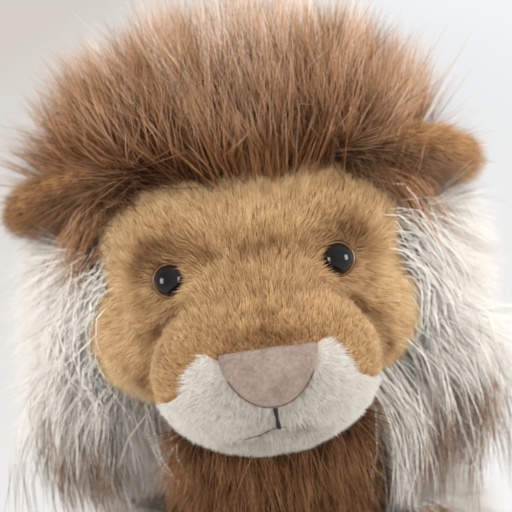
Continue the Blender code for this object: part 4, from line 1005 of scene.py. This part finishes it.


# Ruffs at the cheeks: long off-white hair, sewn in rows behind the face. It comes out sideways and
# then falls. It is brown at the temples, and its ends are brown low on both sides, drawn darker there
# as painted shade.
white_hair = hair_finish(
    "white_hair",
    [(216, 204, 188), (236, 229, 219), (246, 241, 234)],
    [(176, 152, 134), (240, 234, 226), (253, 251, 248)],
    start=0.45, end=1.05, sheen=0.05,
)
tipped_and_shaded_hair = hair_finish(
    "tipped_and_shaded_hair",
    [(216, 204, 188), (236, 229, 219), (246, 241, 234)],
    [(70, 44, 28), (112, 76, 50), (156, 118, 88)],
    start=0.58, end=0.78, sheen=0.0,
)
white_underfur = knit_finish("white_underfur", (222, 214, 203), (200, 188, 174), 500)
centre = np.array((0, 0, 0.232))
ruff_tufts, white_lock_tufts, jowl_tufts = 900, 70, 90
brown_below, brown_outside = 0.188, 0.046
for word, side in both_sides:
    node = f"cheek_mane_{word}"
    temple_foot = 0.252 if side < 0 else 0.258
    underfur(node, "head", white_underfur, white_hair, tree=head_tree,
             comb=[side * 0.3, -0.1, -1], share=0.76, count=15000, long=0.020, base=0.74)
    rng = np.random.default_rng(60 + side)
    tips = strew_on(node, ruff_tufts, 60 + side)[0]
    across = (tips - centre)[:, [0, 2]]
    tips = tips[(np.linalg.norm(across, axis=1) > 0.060) & (tips[:, 1] < 0.019)]
    turned = (tips - centre)[:, [0, 2]] * [side, 1]
    lift = np.radians(36) * np.clip(1 - np.abs(turned[:, 1]) / 0.09, 0.2, 1)
    angle = np.arctan2(turned[:, 1], turned[:, 0]) + lift
    far = np.linalg.norm(turned, axis=1)
    goals = np.tile(centre, (len(tips), 1))
    goals[:, 1] = np.clip(tips[:, 1] * 0.9, -0.022, 0.018)
    over = np.stack([side * far * np.cos(angle), tips[:, 1], centre[2] + far * np.sin(angle)], axis=1)
    roots, kept = roots_under(over, goals, head_tree)
    tips, roots = tips[kept], roots[kept]
    tips = roots + (tips - roots) * rng.uniform(0.8, 1.12, (len(tips), 1)) + [0, 0, -0.004]
    tips += rng.normal(scale=0.004, size=tips.shape)
    tips[:, 2] -= 0.012 * np.clip((0.205 - tips[:, 2]) / 0.03, 0, 1)
    if side > 0:
        lock = rng.normal(size=(white_lock_tufts, 3))
        roots = np.vstack([roots, [0.040, -0.030, 0.196] + lock * [0.003, 0.003, 0.003]])
        tips = np.vstack([tips, [0.045, -0.047, 0.152] + lock * [0.005, 0.004, 0.005]])
    jowl = rng.normal(size=(jowl_tufts, 3))
    roots = np.vstack([roots, [side * 0.058, -0.022, 0.205] + jowl * [0.007, 0.004, 0.006]])
    tips = np.vstack([tips, [side * 0.065, -0.040, 0.158] + jowl * [0.011, 0.005, 0.009]])
    start = unit(roots - centre) * 0.75 + [0, -0.12, -0.05] + rng.normal(scale=0.08, size=tips.shape)
    per = 10
    locks = lock_hairs(roots, tips, start, per, 0.0034, 0.0026, 61, shortest=0.6, stray=0.02)
    tone = lock_tone(len(tips), per, 62, base=0.66, spread=0.10, single=0.09)
    mixed = rng.normal(size=len(tips))
    # Ends low at the sides are brown as the hair's own colour, and darker still as painted shade there.
    low_and_out = (tips[:, 2] < brown_below) & (np.abs(tips[:, 0]) > brown_outside) & (mixed > -1.0)
    at_temple = roots[:, 2] > temple_foot + 0.003 * mixed
    kinds = np.repeat(np.where(at_temple, 1, np.where(low_and_out, 2, 0)), per)
    for kind, part, finish, slot, darker in (
        (0, "cheek", white_hair, "white_mane", 0),
        (1, "temple", brown_hair, "brown_mane", 0.2),
        (2, "jowl", tipped_and_shaded_hair, "white_mane", 0),
    ):
        mine = kinds == kind
        long_hair(f"{part}_hair_{word}", [rows[mine] for rows in locks], 0.00020, tone[mine] - darker, 3,
                  "head", node, finish, 63 + kind, centre, wave=0.008)


# Hair under the chin: long brown hair sewn below the muzzle. It hangs to the chest.
underfur("throat_mane", "head", brown_underfur, brown_hair, tree=head_tree, comb=[0, -0.2, -1.2],
         share=0.60, count=6000, long=0.016, base=0.04)
rng = np.random.default_rng(70)
tips = strew_on("throat_mane", 620, 70)[0]
tips = tips[(tips[:, 2] < 0.186) & (tips[:, 0] < 0.036)]
above = tips.copy()
above[:, 2] = 0.196 + (tips[:, 2] - 0.186) * 0.4
goals = np.tile((0, -0.010, 0.200), (len(tips), 1)).astype(float)
goals[:, 0] = tips[:, 0] * 0.5
roots, kept = roots_under(above + [0, -0.02, 0], goals, head_tree)
tips, roots = tips[kept], roots[kept]
tips = tips + [0, 0, -0.006] + rng.normal(scale=0.003, size=tips.shape)
start = unit(roots - [0, -0.010, 0.215]) * 0.6 + [0, 0, -0.4] + rng.normal(scale=0.08, size=tips.shape)
per = 10
long_hair("throat_hair", lock_hairs(roots, tips, start, per, 0.0030, 0.0018, 71, shortest=0.7), 0.00024,
          lock_tone(len(tips), per, 72, base=0.05), 2, "head", "throat_mane", brown_hair, 73,
          np.array((0, 0.01, 0.19)), wave=0.02)


# Back of the mane: the same long brown hair over the back of the head, combed down and outwards.
underfur("back_mane", "head", brown_underfur, brown_hair, tree=head_tree, comb=[0, 0.1, -0.5],
         share=0.82, count=12500, long=0.018, base=0.36)
rng = np.random.default_rng(80)
tips, facing = strew_on("back_mane", 1150, 80)
centre = np.array((0, 0.004, 0.232))
tips = tips[(np.linalg.norm(tips - centre, axis=1) > 0.058) & ((tips[:, 1] > 0.022) | (facing[:, 1] > -0.8))]
over = tips.copy()
over[:, 2] += 0.030
goals = np.tile(centre, (len(tips), 1))
roots, kept = roots_under(over, goals, head_tree)
tips, roots = tips[kept], roots[kept]
tips = roots + (tips - roots) * rng.uniform(0.88, 1.08, (len(tips), 1))
tips = tips + rng.normal(scale=0.003, size=tips.shape)
start = unit(roots - centre) * 0.9 + [0, 0, 0.08] + rng.normal(scale=0.08, size=tips.shape)
per = 8
long_hair("back_hair", lock_hairs(roots, tips, start, per, 0.0034, 0.0022, 81, shortest=0.65), 0.00030,
          lock_tone(len(tips), per, 82, base=0.42), 2, "head", "back_mane", brown_hair, 83,
          centre, wave=0.02)


# Head filling: loose polyester fibre pushed in by hand, so it is lumpy inside its cover.
fibre, tree, shader = plain_finish("stuffing_fibre", (238, 238, 234), 0.95)
shader.inputs["Sheen Weight"].default_value = 0.4
strands = cloudy(tree, 350, detail=6, distortion=3)
colour_by(tree, shader, strands, ((206, 206, 200), (246, 246, 243)), 0.35, 0.65)
raise_by(tree, shader, strands, 0.8, 0.001)


def filling(node, body, voxel=0.005):
    """A lumpy mass of fibre in a CAD filling's place."""
    mass = make_piece(f"{node}_fibre", node_shape(node))
    remesh(mass, voxel, 4)
    at, out = points_of(mass), normals_of(mass)
    lumps = mottle(at, 0.012, 90)
    move_points(mass, at + out * (0.0009 * lumps - 0.0012)[:, None])
    dress(mass, fibre, body, node)


filling("head_stuffing", "head")


# Neck gusset: a round of cream cloth that closes the neck. It sits on the body's dish.
neck_cloth = make_piece("neck_cloth", node_shape("neck_gusset"))
remesh(neck_cloth, voxel=0.002, smoothing=2)
dress(neck_cloth, cream_knit, "neck", "neck_gusset")


# Body: a pear-shaped bag of golden short pile, filled with fibre over a bag of pellets.
cloth_and_pile = 0.0026  # from a filling to the outside of its cover


def cover_skin(name, filled, voxel):
    """A cover's outside, from the shape that fills it, grown by the cloth and pile over it."""
    skin = make_piece(name, filled)
    remesh(skin, voxel, 4)
    move_points(skin, points_of(skin) + cloth_and_pile * normals_of(skin))
    return skin


def short_pile(name, skin, count, long, comb, seed, body, node):
    """Short golden pile all over a skin."""
    rng = np.random.default_rng(seed)
    roots, facing = scatter(skin, count, seed + 1)
    tone = 0.64 + 0.14 * mottle(roots, 0.014, seed) + 0.12 * mottle(roots, 0.004, seed + 2)
    tone += rng.normal(scale=0.09, size=len(roots))
    reach = nap(roots, facing, np.tile(comb, (len(roots), 1)), long, 50, seed + 3)
    pile = coat(name, roots, reach, 0, 0.00028, tone, 1, seed=seed + 4, facing=facing)
    dress(pile, golden_hair, body, node)


body_shape = node_shape("body_stuffing")
pouch_middle = (0, 0.005, 0.030)  # the pellet bag's room is closed, so that the skin has one side
add_ball(body_shape, pouch_middle, (0.046, 0.040, 0.020))
bmesh.ops.create_cone(body_shape, cap_ends=True, segments=32, radius1=0.0185, radius2=0.0185, depth=0.027,
                      matrix=Matrix.Translation((0, 0.005, 0.0175)))
body_skin = cover_skin("body_skin", body_shape, 0.003)
plump(body_skin, most=0.0015, held=on_middle_seam)
dress(body_skin, golden_knit, "torso", "body_cover")
short_pile("body_pile", body_skin, 26000, 0.0052, (0, 0, -1), 100, "torso", "body_cover")
filling("body_stuffing", "torso")


# Pellet bag: a closed calico pouch of plastic pellets in the seat, which keeps the lion sitting.
pellets = make_piece("pellet_pouch", node_shape("pellet_bag"))
remesh(pellets, voxel=0.0025, smoothing=3)
at, out = points_of(pellets), normals_of(pellets)
bumps = np.abs(mottle(at, 0.0035, 110))
move_points(pellets, at + out * (0.0010 * bumps - 0.0012)[:, None])
calico = knit_finish("calico", (214, 204, 184), (188, 176, 152), 1400)
dress(pellets, calico, "torso", "pellet_bag")


# Chest, shoulders and nape: the lower part of the mane, sewn to the body under the head. Brown
# hair in front and behind, white over the shoulders.
body_tree = tree_of(body_skin)
for node, slot, finish, cloth, tufts, base in (
    ("breast_mane", "brown_mane", brown_hair, brown_underfur, 620, 0.22),
    ("nape_mane", "brown_mane", brown_hair, brown_underfur, 360, 0.40),
    ("shoulder_mane_left", "white_mane", white_hair, white_underfur, 430, 0.55),
    ("shoulder_mane_right", "white_mane", white_hair, white_underfur, 430, 0.55),
):
    underfur(node, "torso", cloth, finish, tree=body_tree, comb=[0, 0, -1.2], share=0.65, count=5000,
             long=0.016, base=base)
    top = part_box(node)[1].z
    rng = np.random.default_rng(119)
    tips = strew_on(node, tufts, 120)[0]
    over = tips.copy()
    over[:, 2] = top - 0.006 - (top - tips[:, 2]) * 0.45
    goals = over * [0.4, 0, 1]
    roots, kept = roots_under(over + (over - goals) * [0.3, 0.3, 0], goals, body_tree)
    kept &= (tips[:, 2] < roots[:, 2] + 0.004)
    tips, roots = tips[kept], roots[kept]
    tips = tips + rng.normal(scale=0.003, size=tips.shape)
    start = unit(roots * [1, 1, 0]) * 0.55 + [0, 0, -0.35]
    per = 8
    long_hair(node.replace("mane", "hair"), lock_hairs(roots, tips, start, per, 0.0030, 0.0020, 121),
              0.00028, lock_tone(len(tips), per, 122, base=base), 2, "torso", node, finish, 123,
              np.array((0, 0, 0.12)), wave=0.02)


# Legs: tubes of the same pile, filled firmly, that lie flat on the ground. Three stitches of brown
# thread draw each paw in between its toes.
for body in (f"{limb}_{word}" for limb in ("foreleg", "hindleg") for word in ("left", "right")):
    skin = cover_skin(f"{body}_skin", node_shape(f"{body}_stuffing"), 0.0028)
    plump(skin, most=0.0012)
    dress(skin, golden_knit, body, f"{body}_cover")
    short_pile(f"{body}_pile", skin, 7800, 0.0048, (0, -0.8, -0.6), 130, body, f"{body}_cover")
    filling(f"{body}_stuffing", body)
    for toe in ("inner", "middle", "outer"):
        node = f"{body}_toe_{toe}"
        row = points_of(nodes[node])
        cuts = np.linspace(row[:, 2].min(), row[:, 2].max(), 9)
        path = [row[np.abs(row[:, 2] - cut) < (cuts[1] - cuts[0]) * 1.2].mean(0) for cut in cuts]
        path = [point + [0, -0.0006, 0.0004] for point in path]
        toe_thread = thread(f"{node}_thread", path, radius=0.0007, plies=2, twist=0.3)
        dress(toe_thread, brown, body, node)


# Tail: a thin stuffed tube of pile with a tuft of long brown hair at its end.
tail_skin = cover_skin("tail_skin", node_shape("tail_stuffing"), 0.002)
dress(tail_skin, golden_knit, "tail", "tail_cover")
short_pile("tail_pile", tail_skin, 5200, 0.0045, (0, 1, -0.1), 140, "tail", "tail_cover")
filling("tail_stuffing", "tail", 0.003)
low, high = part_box("tail_tuft")
tips = strew_on("tail_tuft", 420, 141)[0]
tips = tips[tips[:, 1] > low.y + 0.012]
begin = np.array((0, low.y + 0.004, (low.z + high.z) / 2 + 0.001))
roots = begin + (tips - begin) * [0.55, 0.12, 0.55]
start = unit(tips - roots) * 0.6 + unit(roots - begin) * 0.3
per = 9
long_hair("tail_hair", lock_hairs(roots, tips, start, per, 0.0018, 0.0012, 142, shortest=0.5), 0.00028,
          lock_tone(len(tips), per, 143, base=0.4), 2, "tail", "tail_tuft", brown_hair, 144,
          begin, wave=0.03)
